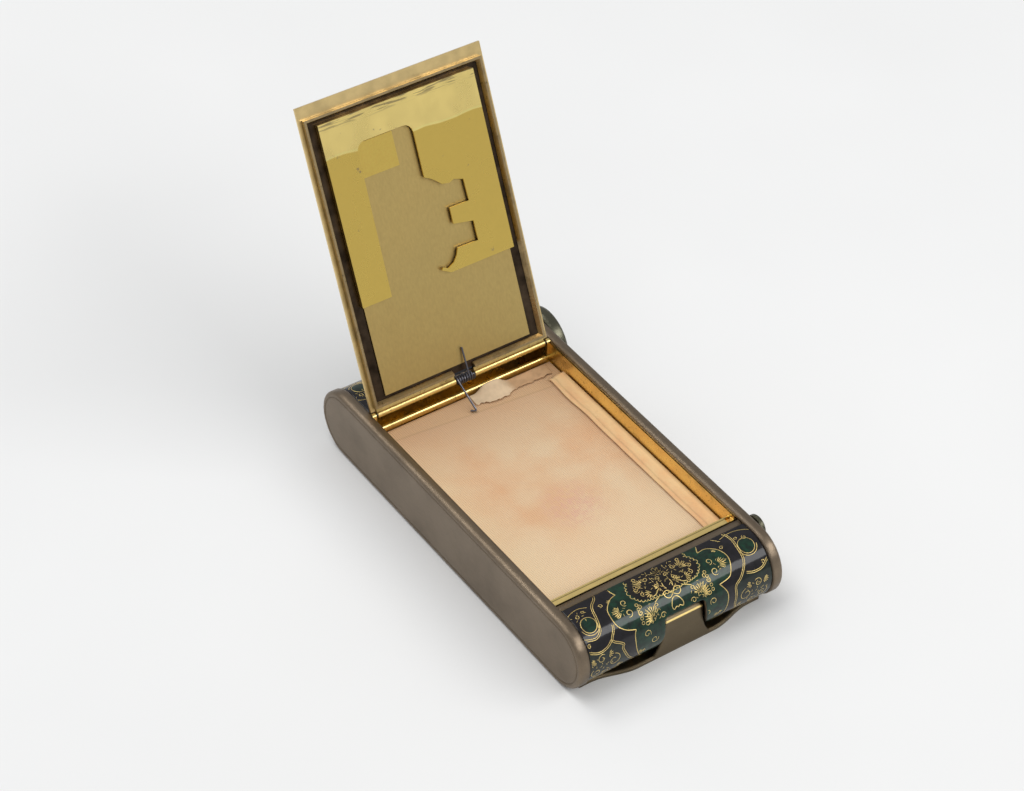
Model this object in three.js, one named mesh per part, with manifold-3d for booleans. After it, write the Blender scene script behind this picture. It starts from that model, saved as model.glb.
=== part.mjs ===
// Enamel vanity case: a slim box with round ends, standing open.
// Millimetres. X is across the case, +Y runs from the thumb notch to the hinge, Z is up.
// The origin is on the table, in the middle of the closed case's footprint.

import * as THREE from 'three';
import { mergeVertices } from 'three/addons/utils/BufferGeometryUtils.js';
import Module from 'manifold-3d';

const wasm = await Module();
wasm.setup();

// Overall size of the closed case
const caseWidth = 48;
const caseLength = 90;
const caseHeight = 15.2;

// Clearances
const restingGap = 0.1;
const slidingGap = 0.15;
const fitGap = 0.2;
const turningGap = 0.3;
const weldDepth = 0.05;
const cutThrough = 1;

// Side caps: dished end plates with a rounded rim and one engraved line
const capFlange = 2.4;
const capSheet = 0.7;
const capEdgeRound = 0.7;
const capInnerRound = 0.3;
const capLineInset = 1.0;
const capLineWidth = 0.35;
const capLineDepth = 0.18;

// Enamelled end shells, set a little below the caps
const enamelStep = 0.35;
const shellSheet = 0.7;
const frontShellFlat = 2.65;
const rearShellFlat = 6.2;
const ledgeDepth = 1.55;

// Thumb notch in the front shell, bell shaped
const notchTop = 10.9;
const notchHalfWidth = 4.75;
const notchFootHalfWidth = 8.2;
const notchFlare = 2.4;
const notchCentre = 0.8;
const notchCorner = 0.9;

// Base cover with its thumb tongue
const coverSheet = 0.8;
const coverOverhang = 0.9;
const coverShoulder = 19.0;
const coverSwell = 9.0;
const tongueInset = 1.5;
const tongueSheet = 0.7;
const tongueFold = 8.7;
const tongueLip = 0.75;
const tongueHalfWidth = 4.2;
const tongueFootHalfWidth = 7.4;
const tongueFlare = 2.8;
const tongueCentre = 1.2;
const tongueCorner = 0.6;

// Powder well: the gilt tray that carries the rest
const wellSheet = 0.5;
const deckTop = 4.6;
const deckSheet = 0.5;
const troughWidth = 1.35;
const troughDepth = 1.3;
const lipWidth = 1.6;
const lipThickness = 0.7;
const latchSlot = 1.2;
const latchSlotDepth = 1.6;
const ledgeWidth = 0.7;
const ledgeSheet = 0.5;
const railRadius = 0.5;
const railCrease = 0.1;
const railRise = 1.5;
const railSetback = 0.45;
const rearWallInset = 1.6;

// Powder gauze, and the tape and torn paper that lie on it
const gauzeTop = 9.9;
const gauzeSheet = 0.4;
const tapeWidth = 4.0;
const tapeSheet = 0.35;
const tapeRise = 0.6;
const paperSheet = 0.3;
const paperInset = 1.8;
const paperLength = 4.4;
const paperStart = 1.0;

// Hinge
const tubeRadius = 0.65;
const rodRadius = 0.28;
const hingeToShell = 1.15;
const lugWidth = 0.65;
const lugDrop = 3.0;
const leafSheet = 0.25;
const coilCentre = 0.7;
const coilLength = 4.0;
const coilTurns = 7;
const coilRadius = 0.8;
const coilSag = 0.1;
const wireRadius = 0.2;
const lowerLegAngle = 133;
const lowerLegReach = 5.65;
const lowerLegShift = 1.2;
const hookReach = 1.1;
const legBends = [0.35, 0.9];
const legOffset = 0.5;
const upperLegLength = 5.55;

// Lid
const openAngle = 114.6;
const lidSheet = 0.5;
const lidStart = 0.85;
const frameSideMargin = 0.8;
const frameFrontMargin = 2.65;
const frameSheet = 0.5;
const frameFootSpread = 0.55;
const frameDepth = 1.0;
const frameStart = 1.45;
const panelChannel = 2.6;
const panelRearGap = 1.2;
const panelSheet = 0.2;
const foldProud = 0.15;
const foldSheet = 0.35;
const foldChannel = 2.05;
const foldFrontGap = 1.7;
const foldStart = 22.3;
const patchSheet = 0.15;
const patchWidth = 8.2;
const patchLength = 7.1;

// Push button on the right cap, and the latch bar that it moves
const buttonDrop = 3.2;
const buttonRadius = 2.5;
const buttonThickness = 1.4;
const buttonDome = 0.6;
const buttonTravel = 0.5;
const stemRadius = 0.8;
const stemLength = 1.8;
const latchBarWidth = 1.0;
const latchBarSheet = 0.6;

// Round knob at the right end of the rear barrel, on a thin tube inside it
const knobReach = 3.2;
const knobRound = 0.8;
const knobSheet = 0.8;
const knobTubeRadius = 3.5;
const knobTubeSheet = 0.5;
const knobTubeLength = 9.0;

// Smoothness of the round forms
const arcSteps = 18;
const flareCrowding = 1.5;
const roundSteps = 4;
const holeSteps = 20;
const wireSides = 8;
const coilSteps = 12;
const springSteps = 150;
const legSteps = 4;
const weldDistance = 1e-5;

// Places worked out from the sizes above
const endRadius = caseHeight / 2;
const endCentre = caseLength / 2 - endRadius;
const halfWidth = caseWidth / 2;
const openingHalf = halfWidth - capFlange;
const shellHalf = openingHalf - restingGap;
const shellRadius = endRadius - enamelStep;
const shellTop = caseHeight - enamelStep;
const shellUnder = shellTop - shellSheet;
const foot = Math.max(coverSheet + turningGap, capSheet + turningGap);
const frontEdge = frontShellFlat - endCentre;
const rearEdge = endCentre - rearShellFlat;
const shellFootY = endCentre + Math.sqrt(shellRadius ** 2 - (endRadius - foot) ** 2);
const coverEnd = shellFootY + coverOverhang;
const tongueY = caseLength / 2 - tongueInset;
const ledgeTop = caseHeight - lidSheet - restingGap;
const ledgeEdge = frontEdge + ledgeDepth;
const wellHalf = openingHalf - restingGap;
const wellTop = caseHeight - capSheet - fitGap;
const frontWall = [ledgeEdge + restingGap - wellSheet, ledgeEdge + restingGap];
const lipOuter = frontWall[1] + troughWidth - restingGap;
const lipInner = lipOuter + lipWidth;
const lipTop = caseHeight - lidSheet - frameDepth - foldProud - fitGap;
const troughFloor = lipTop - troughDepth;
const hingeY = rearEdge - hingeToShell;
const hingeZ = caseHeight - tubeRadius;
const railY = hingeY - railSetback;
const railWall = [railY - wellSheet / 2, railY + wellSheet / 2];
const railTop = gauzeTop + railRise;
const ledgeLow = gauzeTop - gauzeSheet - restingGap - ledgeSheet;
const ledge = [ledgeLow, ledgeLow + ledgeSheet];
const rearWall = [rearEdge + rearWallInset, rearEdge + rearWallInset + wellSheet];
const lidHalf = shellHalf - restingGap;
const lidEnd = hingeY - frontEdge - slidingGap;
const lidInside = tubeRadius - lidSheet;
const lidRest = lidInside - restingGap;
const frameFace = lidInside - frameDepth;
const frameHalf = lidHalf - frameSideMargin;
const frameEnd = lidEnd - frameFrontMargin;
const panelHalf = frameHalf - frameSheet - panelChannel;
const panelFace = lidRest - panelSheet;
const panelStart = frameStart + frameSheet + panelRearGap;
const foldHalf = frameHalf - frameSheet - foldChannel;
const foldEnd = frameEnd - foldFrontGap;
const foldFace = frameFace - foldProud;
const panelEnd = foldEnd - foldSheet - fitGap;
const coilZ = hingeZ - coilSag;
const coilEnds = [coilCentre - coilLength / 2 - wireRadius, coilCentre + coilLength / 2 + wireRadius];
const coilSpace = [coilEnds[0] - turningGap, coilEnds[1] + turningGap];
const buttonY = frontWall[0] - fitGap - stemRadius;
const buttonZ = caseHeight - buttonDrop;

const finishes = {
  bronze: { color: 0x7b6d5c, roughness: 0.38, metalness: 0.9 },
  enamel: { color: 0x1f3a2e, roughness: 0.12, metalness: 0.1 },
  gilt: { color: 0xc08a30, roughness: 0.3, metalness: 1 },
  satinBrass: { color: 0xac9a5e, roughness: 0.45, metalness: 1 },
  brightBrass: { color: 0xb8a24e, roughness: 0.28, metalness: 1 },
  steel: { color: 0x4a4c52, roughness: 0.4, metalness: 1 },
  gauze: { color: 0xdbb894, roughness: 0.9, metalness: 0 },
  paper: { color: 0xd0ac93, roughness: 0.95, metalness: 0 },
};

function placed(geometry, ...axes) {
  return geometry.applyMatrix4(new THREE.Matrix4().makeBasis(...axes));
}

function extruded(points, from, to) {
  const shape = new THREE.Shape(points.map(([u, v]) => new THREE.Vector2(u, v)));
  const geometry = new THREE.ExtrudeGeometry(shape, { depth: to - from, bevelEnabled: false });
  return geometry.translate(0, 0, from);
}

const axisX = new THREE.Vector3(1, 0, 0);
const axisY = new THREE.Vector3(0, 1, 0);
const axisZ = new THREE.Vector3(0, 0, 1);

// An outline of y and z, run across the case.
function acrossX(points, from, to) {
  return placed(extruded(points, from, to), axisY, axisZ, axisX);
}

// An outline of x and z, run along the case.
function alongY(points, from, to) {
  return placed(extruded(points, -to, -from), axisX, axisZ, axisY.clone().negate());
}

function box(x, y, z) {
  const geometry = new THREE.BoxGeometry(x[1] - x[0], y[1] - y[0], z[1] - z[0]);
  return geometry.translate((x[0] + x[1]) / 2, (y[0] + y[1]) / 2, (z[0] + z[1]) / 2);
}

function roundBar(radius, x, y, z) {
  const geometry = new THREE.CylinderGeometry(radius, radius, x[1] - x[0], holeSteps);
  return geometry.rotateZ(-Math.PI / 2).translate((x[0] + x[1]) / 2, y, z);
}

// Points of an arc, with its angles in degrees.
function arc(u, v, radius, from, to, steps = arcSteps) {
  return Array.from({ length: steps + 1 }, (_, step) => {
    const angle = THREE.MathUtils.degToRad(from + ((to - from) * step) / steps);
    return [u + radius * Math.cos(angle), v + radius * Math.sin(angle)];
  });
}

function solid(geometry) {
  const bare = geometry.clone();
  bare.deleteAttribute('normal');
  bare.deleteAttribute('uv');
  const welded = mergeVertices(bare, weldDistance);
  return new wasm.Manifold(new wasm.Mesh({
    numProp: 3,
    vertProperties: new Float32Array(welded.attributes.position.array),
    triVerts: new Uint32Array(welded.index.array),
  }));
}

function surface(manifold) {
  const { vertProperties, triVerts } = manifold.getMesh();
  const geometry = new THREE.BufferGeometry();
  geometry.setAttribute('position', new THREE.BufferAttribute(new Float32Array(vertProperties), 3));
  geometry.setIndex(new THREE.BufferAttribute(new Uint32Array(triVerts), 1));
  return geometry;
}

function joined(...geometries) {
  return surface(geometries.map(solid).reduce((whole, next) => whole.add(next)));
}

function cut(geometry, ...tools) {
  return surface(tools.map(solid).reduce((rest, tool) => rest.subtract(tool), solid(geometry)));
}

function common(first, second) {
  return surface(solid(first).intersect(solid(second)));
}

function piece(name, geometry, finish) {
  geometry.computeVertexNormals();
  const mesh = new THREE.Mesh(geometry, new THREE.MeshStandardMaterial(finishes[finish]));
  mesh.name = name;
  return mesh;
}

// The side outline of the case at x, set in by inset.
function sideRing(x, inset) {
  const radius = endRadius - inset;
  const rear = arc(endCentre, endRadius, radius, 90, -90);
  const front = arc(-endCentre, endRadius, radius, -90, -270);
  return [...rear, ...front].map(([y, z]) => [x, y, z]);
}

// A closed skin over a row of rings of like length, closed flat at both ends.
function skin(rings) {
  const count = rings[0].length;
  const last = (rings.length - 1) * count;
  const faces = [];
  for (let start = 0; start < last; start += count) {
    for (let k = 0; k < count; k += 1) {
      const a = start + k;
      const b = start + ((k + 1) % count);
      faces.push(a, b, b + count, a, b + count, a + count);
    }
  }
  for (let k = 1; k + 1 < count; k += 1) {
    faces.push(0, k + 1, k);
    faces.push(last, last + k, last + k + 1);
  }
  const geometry = new THREE.BufferGeometry();
  geometry.setAttribute('position', new THREE.Float32BufferAttribute(rings.flat(2), 3));
  geometry.setIndex(faces);
  return geometry;
}

// The section of a cap, as pairs of depth behind its outer face and inset from its outline.
function capSection() {
  const line = [
    [0, capLineInset + 2 * capLineWidth],
    [0, capLineInset + capLineWidth],
    [capLineDepth, capLineInset + capLineWidth / 2],
    [0, capLineInset],
  ];
  const outerRound = arc(capEdgeRound, capEdgeRound, capEdgeRound, 180, 270, roundSteps);
  const innerRound = arc(capFlange - capInnerRound, capInnerRound, capInnerRound, 270, 360, roundSteps);
  const inside = [[capFlange, capSheet], [capSheet, capSheet]];
  return [...line, ...outerRound, ...innerRound, ...inside];
}

function cap() {
  return skin(capSection().map(([depth, inset]) => sideRing(halfWidth - depth, inset)));
}

function rightCap() {
  const x = [halfWidth - 2 * capSheet, halfWidth + cutThrough];
  const stemHole = roundBar(stemRadius + slidingGap, x, buttonY, buttonZ);
  const tubeHole = roundBar(knobTubeRadius + slidingGap, x, endCentre, endRadius);
  return cut(cap(), stemHole, tubeHole);
}

// The section of the front shell in y and z, closed by its top edge.
function shellSection(topEdge) {
  const footAngle = 180 + THREE.MathUtils.radToDeg(Math.asin((endRadius - foot) / shellRadius));
  const outer = arc(-endCentre, endRadius, shellRadius, footAngle, 90);
  const inner = arc(-endCentre, endRadius, shellRadius - shellSheet, 90, footAngle);
  return [...outer, ...topEdge, ...inner];
}

// A bell outline of x and z that widens towards its foot.
function bell(halfTop, halfFoot, flare, low, high, corner) {
  const side = [];
  for (let step = 0; step <= arcSteps; step += 1) {
    const rise = (high - corner - low) * (step / arcSteps) ** flareCrowding;
    side.push([halfTop + (halfFoot - halfTop) * Math.exp(-rise / flare), low + rise]);
  }
  const top = side.at(-1)[0];
  side.push(...arc(top - corner, high - corner, corner, 0, 90, roundSteps).slice(1));
  const mirrored = side.map(([x, z]) => [-x, z]).reverse();
  return [...side, ...mirrored];
}

function frontShell() {
  const topEdge = [
    [frontEdge, shellTop],
    [frontEdge, ledgeTop],
    [ledgeEdge, ledgeTop],
    [ledgeEdge, shellUnder],
  ];
  const shell = acrossX(shellSection(topEdge), -shellHalf, shellHalf);
  const outline = bell(notchHalfWidth, notchFootHalfWidth, notchFlare, foot, notchTop, notchCorner);
  const below = [[-notchFootHalfWidth, 0], [notchFootHalfWidth, 0]];
  const notch = alongY([...outline, ...below], -caseLength, -endCentre);
  return cut(shell, notch.translate(notchCentre, 0, 0));
}

function rearShell() {
  const topEdge = [[-rearEdge, shellTop], [-rearEdge, shellUnder]];
  return acrossX(shellSection(topEdge), -shellHalf, shellHalf).rotateZ(Math.PI);
}

// The base plate's outline of x and y: its front edge swells out to carry the tongue.
function coverOutline() {
  const half = shellHalf - restingGap;
  const front = -coverEnd;
  const swell = tongueY - coverEnd;
  const edge = [];
  for (let step = 0; step <= arcSteps; step += 1) {
    const share = step / arcSteps;
    const x = THREE.MathUtils.lerp(coverShoulder, coverSwell, share);
    edge.push([x, front - (swell * (1 - Math.cos(Math.PI * share))) / 2]);
  }
  const mirrored = edge.map(([x, y]) => [-x, y]).reverse();
  return [[half, -front], [half, front], ...edge, ...mirrored, [-half, front], [-half, -front]];
}

function baseCover() {
  const plate = extruded(coverOutline(), 0, coverSheet);
  const face = -tongueY;
  const back = face + tongueSheet;
  const tip = tongueFold + tongueLip;
  const section = [
    [face, 0],
    [face, tongueFold],
    [face + tongueLip, tip],
    [back + tongueLip, tip - tongueSheet / 2],
    [back, tongueFold - tongueSheet / 2],
    [back, 0],
  ];
  const outline = bell(tongueHalfWidth, tongueFootHalfWidth, tongueFlare, 0, tip, tongueCorner);
  const upright = acrossX(section, -tongueFootHalfWidth, tongueFootHalfWidth);
  const tongue = common(upright, alongY(outline, -caseLength, 0));
  return joined(plate, tongue.translate(tongueCentre, 0, 0));
}

// A lug at one side of the well, with a blind hole for the end of the hinge rod.
function hingeLug(side) {
  const inner = wellHalf - lugWidth - restingGap;
  const outer = wellHalf + weldDepth;
  const low = hingeZ - lugDrop;
  const base = [[hingeY - tubeRadius, low], [hingeY + tubeRadius, low]];
  const outline = [...base, ...arc(hingeY, hingeZ, tubeRadius, 0, 180, holeSteps / 2)];
  const lug = side > 0 ? acrossX(outline, inner, outer) : acrossX(outline, -outer, -inner);
  const reach = wellHalf - restingGap;
  return cut(lug, roundBar(rodRadius + restingGap, [-reach, reach], hingeY, hingeZ));
}

// The bent sheet of the well in y and z: front wall, trough, lip, deck, rail and rear wall.
function wellSection() {
  const deckLow = deckTop - deckSheet;
  const wallTop = shellUnder - restingGap;
  const lipWall = lipOuter + wellSheet;
  const railLow = railTop - 2 * railRadius + railCrease;
  return [
    [frontWall[0], troughFloor - wellSheet],
    [frontWall[0], wallTop],
    [frontWall[1], wallTop],
    [frontWall[1], troughFloor],
    [lipOuter, troughFloor],
    [lipOuter, lipTop],
    [lipInner, lipTop],
    [lipInner, lipTop - lipThickness],
    [lipWall, lipTop - lipThickness],
    [lipWall, ledge[1]],
    [lipWall + ledgeWidth, ledge[1]],
    [lipWall + ledgeWidth, ledge[0]],
    [lipWall, ledge[0]],
    [lipWall, deckTop],
    [railWall[0], deckTop],
    [railWall[0], ledge[0]],
    [railWall[0] - ledgeWidth, ledge[0]],
    [railWall[0] - ledgeWidth, ledge[1]],
    [railWall[0], ledge[1]],
    [railWall[0], railLow],
    ...arc(railY, railTop - railRadius, railRadius, 225, -45, holeSteps / 2),
    [railWall[1], railLow],
    [railWall[1], deckTop],
    [rearWall[0], deckTop],
    [rearWall[0], wallTop],
    [rearWall[1], wallTop],
    [rearWall[1], deckLow],
    [lipOuter, deckLow],
    [lipOuter, troughFloor - wellSheet],
  ];
}

function powderWell() {
  const outer = wellHalf + wellSheet;
  const end = (wellHalf + outer) / 2;
  const slotX = wellHalf - restingGap;
  const slotY = lipOuter + restingGap;
  const barSweep = latchBarWidth + buttonTravel + fitGap + turningGap;
  const tray = cut(
    acrossX(wellSection(), -end, end),
    box([slotX - latchSlot, slotX], [slotY, slotY + latchSlot], [lipTop - latchSlotDepth, caseHeight]),
    box(
      [wellHalf - barSweep, outer],
      [-caseLength, frontWall[1] + weldDepth],
      [troughFloor + weldDepth, caseHeight],
    ),
  );
  const sideY = [frontWall[0] - weldDepth, rearWall[1] + weldDepth];
  const ledgeY = [lipOuter + weldDepth, railY];
  const ledgeZ = [ledge[0] + weldDepth, ledge[1] - weldDepth];
  return joined(
    tray,
    box([-outer, -wellHalf], sideY, [foot, wellTop]),
    box([wellHalf, outer], sideY, [foot, wellTop]),
    box([-end + weldDepth, -wellHalf + ledgeWidth], ledgeY, ledgeZ),
    box([wellHalf - ledgeWidth, end - weldDepth], ledgeY, ledgeZ),
    hingeLug(-1),
    hingeLug(1),
  );
}

function gauze() {
  const half = wellHalf - fitGap;
  const y = [lipOuter + wellSheet + slidingGap, railWall[0] - slidingGap];
  return box([-half, half], y, [gauzeTop - gauzeSheet, gauzeTop]);
}

function tornPaper() {
  const rear = railY - railRadius - fitGap;
  const low = gauzeTop + restingGap;
  const end = wellHalf - fitGap - paperInset;
  return box([paperStart, end], [rear - paperLength, rear], [low, low + paperSheet]);
}

function sideTape() {
  const outer = wellHalf - fitGap;
  const inner = outer - tapeWidth;
  const fold = (inner + outer) / 2;
  const low = gauzeTop + restingGap;
  const section = [
    [inner, low],
    [fold, low],
    [outer, low + tapeRise],
    [outer, low + tapeRise + tapeSheet],
    [fold, low + tapeSheet],
    [inner, low + tapeSheet],
  ];
  const front = lipOuter + wellSheet + slidingGap;
  const rear = railY - railRadius - fitGap - paperLength - turningGap;
  return alongY(section, front, rear);
}

function hingeRod() {
  const end = wellHalf - fitGap;
  return roundBar(rodRadius, [-end, end], hingeY, hingeZ);
}

// A wire along a smooth line through the given points.
function wire(points, steps) {
  const path = new THREE.CatmullRomCurve3(points, false, 'centripetal');
  const ring = arc(0, 0, wireRadius, 0, 360 - 360 / wireSides, wireSides - 1);
  const section = new THREE.Shape(ring.map((p) => new THREE.Vector2(...p)));
  return new THREE.ExtrudeGeometry(section, { steps, extrudePath: path, bevelEnabled: false });
}

function hingeSpring() {
  const points = [];
  for (let step = 0; step <= coilTurns * coilSteps; step += 1) {
    const angle = THREE.MathUtils.degToRad(lowerLegAngle) + (step / coilSteps) * 2 * Math.PI;
    const x = coilCentre + coilLength / 2 - (coilLength * step) / (coilTurns * coilSteps);
    const [across, up] = [coilRadius * Math.cos(angle), coilRadius * Math.sin(angle)];
    points.push(new THREE.Vector3(x, hingeY + across, coilZ + up));
  }
  const left = points.at(-1);
  const tipZ = gauzeTop + restingGap + wireRadius;
  const tip = new THREE.Vector3(left.x + lowerLegShift, hingeY - lowerLegReach, tipZ);
  points.push(...legBends.map((share) => left.clone().lerp(tip, share)), tip);
  points.push(tip.clone().add(new THREE.Vector3(-hookReach, hookReach / 2, 0)));
  return wire(points, springSteps);
}

// The lid's pieces are drawn closed, from the hinge axis towards the thumb notch.
function lidBox(x, s, z) {
  return box(x, [-s[1], -s[0]], z);
}

// The room in the lid's rear edge for the spring's coil and its legs.
function coilRoom() {
  return lidBox(coilSpace, [0, panelStart - restingGap], [frameFace - cutThrough, 2 * tubeRadius]);
}

function lidPlate() {
  const plate = lidBox([-lidHalf, lidHalf], [lidStart, lidEnd], [lidInside, tubeRadius]);
  const room = coilRadius + wireRadius + 2 * turningGap;
  return cut(plate, lidBox(coilSpace, [0, room], [0, 2 * tubeRadius]));
}

// A rectangular frame whose inner faces slope out to a wider foot against the lid.
function lidFrame() {
  const top = [frameHalf - frameSheet, [frameStart + frameSheet, frameEnd - frameSheet]];
  const spread = frameFootSpread;
  const low = [top[0] - spread, [top[1][0] + spread, top[1][1] - spread]];
  const ring = ([half, s], z) => [
    [half, -s[0], z],
    [-half, -s[0], z],
    [-half, -s[1], z],
    [half, -s[1], z],
  ];
  const rings = [
    ring(top, frameFace - cutThrough),
    ring(top, frameFace),
    ring(low, lidRest),
    ring(low, lidRest + cutThrough),
  ];
  const outer = lidBox([-frameHalf, frameHalf], [frameStart, frameEnd], [frameFace, lidRest]);
  return cut(outer, skin(rings), coilRoom());
}

function lidPanel() {
  return lidBox([-panelHalf, panelHalf], [panelStart, panelEnd], [panelFace, lidRest]);
}

// The cut-away sheet is drawn on a blank of this size and stretched with the lid.
const blankHalf = 18.05;
const blankLength = 38.0;
const windowLeft = -11.0;
const windowRight = 1.85;
const windowTop = 32.0;
const windowRound = 2.0;

function cutSheet() {
  const tabs = [
    [10.3, 17.3], [10.4, 12.7], [5.8, 12.7], [5.8, 9.3], [10.4, 8.4], [10.4, 4.2], [5.5, 4.3],
  ];
  const torn = [[1.85, 20.5], [3.0, 19.9], [4.2, 19.0], [5.4, 17.9], [7.1, 17.6], [8.2, 18.0]];
  const corner = [[4.9, 2.9], [3.9, 1.7], [2.4, 1.0], [1.3, 1.6], [0.9, 1.1], [2.8, 0]];
  const outline = [
    [-blankHalf, 0],
    [-11.3, 0],
    [windowLeft, 24.7],
    ...arc(windowLeft + windowRound, windowTop - windowRound, windowRound, 180, 90, roundSteps),
    ...arc(windowRight - windowRound, windowTop - windowRound, windowRound, 90, 0, roundSteps),
    ...torn,
    ...tabs,
    ...corner,
    [blankHalf, 0],
    [blankHalf, blankLength],
    [-blankHalf, blankLength],
  ];
  const stretch = (foldEnd - foldStart) / blankLength;
  const points = outline.map(([x, s]) => [(x * foldHalf) / blankHalf, -foldStart - s * stretch]);
  const folds = lidBox([-foldHalf, foldHalf], [foldStart, foldEnd], [foldFace + weldDepth, lidRest]);
  const inside = [foldStart - cutThrough, foldEnd - foldSheet];
  const roomHalf = foldHalf - foldSheet;
  const room = lidBox([-roomHalf, roomHalf], inside, [foldFace, lidRest + cutThrough]);
  return joined(extruded(points, foldFace, foldFace + foldSheet), cut(folds, room));
}

function patch() {
  const stretch = (foldEnd - foldStart) / blankLength;
  const left = (windowLeft * foldHalf) / blankHalf + turningGap;
  const end = foldStart + windowTop * stretch - turningGap;
  const face = panelFace - restingGap;
  return lidBox([left, left + patchWidth], [end - patchLength, end], [face - patchSheet, face]);
}

// One length of hinge tube with the leaf that fixes it under the lid.
function hingeLeaf(x) {
  const tube = roundBar(tubeRadius, x, 0, 0);
  const leaf = lidBox(x, [rodRadius, frameStart - slidingGap], [lidRest - leafSheet, lidRest]);
  return cut(joined(tube, leaf), roundBar(rodRadius + restingGap, [-halfWidth, halfWidth], 0, 0));
}

function upperLeg() {
  const startZ = frameFace - wireRadius - fitGap;
  const start = new THREE.Vector3(coilCentre + legOffset, -lidStart - restingGap, startZ);
  const endZ = panelFace - wireRadius - restingGap;
  const end = new THREE.Vector3(start.x + fitGap, start.y - upperLegLength, endZ);
  return wire([start, end], legSteps);
}

function pushButton() {
  const back = stemLength + buttonTravel + restingGap;
  const front = back + buttonThickness;
  const rim = front - buttonDome;
  const profile = [
    [0, 0],
    [stemRadius, 0],
    [stemRadius, back],
    [buttonRadius, back],
    [buttonRadius, rim],
  ];
  for (let step = 1; step <= roundSteps; step += 1) {
    const angle = (Math.PI / 2) * (step / roundSteps);
    profile.push([buttonRadius * Math.cos(angle), rim + buttonDome * Math.sin(angle)]);
  }
  const points = profile.map(([r, h]) => new THREE.Vector2(r, h));
  points.at(-1).x = 0;
  const geometry = new THREE.LatheGeometry(points, 2 * holeSteps);
  return geometry.rotateZ(-Math.PI / 2).translate(halfWidth - stemLength, buttonY, buttonZ);
}

// The knob's outline from its hollow side to its face, as pairs of radius and distance from the cap.
function knob() {
  const bore = knobTubeRadius - knobTubeSheet;
  const radius = endRadius - restingGap;
  const back = arc(radius - knobRound, restingGap + knobRound, knobRound, -90, 0, roundSteps);
  const face = arc(radius - knobRound, knobReach - knobRound, knobRound, 0, 90, roundSteps);
  const inner = [[0, knobReach - knobSheet], [bore, knobReach - knobSheet], [bore, -knobTubeLength]];
  const tube = [[knobTubeRadius, -knobTubeLength], [knobTubeRadius, restingGap]];
  const outer = [...tube, ...back, ...face, [0, knobReach]];
  const points = [...inner, ...outer].map(([r, h]) => new THREE.Vector2(r, h));
  const geometry = new THREE.LatheGeometry(points, 3 * holeSteps);
  return geometry.rotateZ(-Math.PI / 2).translate(halfWidth, endCentre, endRadius);
}

function latchBar() {
  const right = wellHalf - fitGap;
  const x = [right - latchBarWidth, right];
  const z = [troughFloor + slidingGap, troughFloor + slidingGap + latchBarSheet];
  const arm = box(x, [buttonY - latchBarWidth / 2, lipOuter - turningGap], z);
  const stemEnd = halfWidth - stemLength - restingGap;
  const base = box([x[0], stemEnd], [buttonY - latchBarWidth / 2, buttonY + latchBarWidth / 2], z);
  return joined(arm, base);
}

const knuckles = {
  left: [-frameHalf + turningGap, coilEnds[0] - fitGap],
  right: [coilEnds[1] + fitGap, frameHalf - turningGap],
};

const lid = new THREE.Group();
lid.position.set(0, hingeY, hingeZ);
lid.rotation.x = THREE.MathUtils.degToRad(-openAngle);
lid.add(
  piece('lid_plate', lidPlate(), 'enamel'),
  piece('lid_frame', lidFrame(), 'gilt'),
  piece('lid_panel', lidPanel(), 'satinBrass'),
  piece('lid_cut_sheet', cutSheet(), 'brightBrass'),
  piece('lid_patch', patch(), 'brightBrass'),
  piece('hinge_leaf_left', hingeLeaf(knuckles.left), 'gilt'),
  piece('hinge_leaf_right', hingeLeaf(knuckles.right), 'gilt'),
  piece('spring_upper_leg', upperLeg(), 'steel'),
);

const group = new THREE.Group();
group.add(
  piece('left_cap', cap().rotateZ(Math.PI), 'bronze'),
  piece('right_cap', rightCap(), 'bronze'),
  piece('front_end_shell', frontShell(), 'enamel'),
  piece('rear_end_shell', rearShell(), 'enamel'),
  piece('base_cover', baseCover(), 'satinBrass'),
  piece('powder_well', powderWell(), 'gilt'),
  piece('gauze_sifter', gauze(), 'gauze'),
  piece('side_tape', sideTape(), 'paper'),
  piece('torn_paper', tornPaper(), 'paper'),
  piece('hinge_rod', hingeRod(), 'steel'),
  piece('hinge_spring', hingeSpring(), 'steel'),
  piece('barrel_knob', knob(), 'bronze'),
  piece('push_button', pushButton(), 'bronze'),
  piece('latch_bar', latchBar(), 'brightBrass'),
  lid,
);

export default group;
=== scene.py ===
"""Enamel vanity case: finishes, enamel work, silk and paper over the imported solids."""

import math

import bpy
import numpy as np
from mathutils import Matrix, Vector, noise


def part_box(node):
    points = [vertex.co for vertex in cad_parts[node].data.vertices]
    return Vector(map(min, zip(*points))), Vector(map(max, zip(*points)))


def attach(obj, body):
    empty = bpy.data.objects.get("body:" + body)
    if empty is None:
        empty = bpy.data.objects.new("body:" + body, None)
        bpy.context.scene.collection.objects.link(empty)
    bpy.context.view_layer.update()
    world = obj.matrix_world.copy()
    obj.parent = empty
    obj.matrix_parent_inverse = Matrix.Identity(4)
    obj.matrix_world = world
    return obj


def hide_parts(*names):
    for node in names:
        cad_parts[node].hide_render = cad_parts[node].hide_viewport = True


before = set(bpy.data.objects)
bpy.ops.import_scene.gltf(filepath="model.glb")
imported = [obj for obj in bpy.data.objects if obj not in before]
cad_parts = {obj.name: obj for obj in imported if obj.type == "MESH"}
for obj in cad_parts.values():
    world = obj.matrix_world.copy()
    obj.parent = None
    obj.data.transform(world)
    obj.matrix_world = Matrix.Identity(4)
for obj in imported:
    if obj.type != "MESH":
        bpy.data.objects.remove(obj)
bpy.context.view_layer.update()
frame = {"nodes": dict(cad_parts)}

bl_info = {
    "name": "Enamel vanity case",
    "version": (1, 0, 0),
    "blender": (4, 5, 0),
    "location": "View3D > Sidebar > Vanity case",
    "description": "Dresses the vanity case in enamel, gilding, bronze and silk",
    "category": "Object",
}

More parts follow.
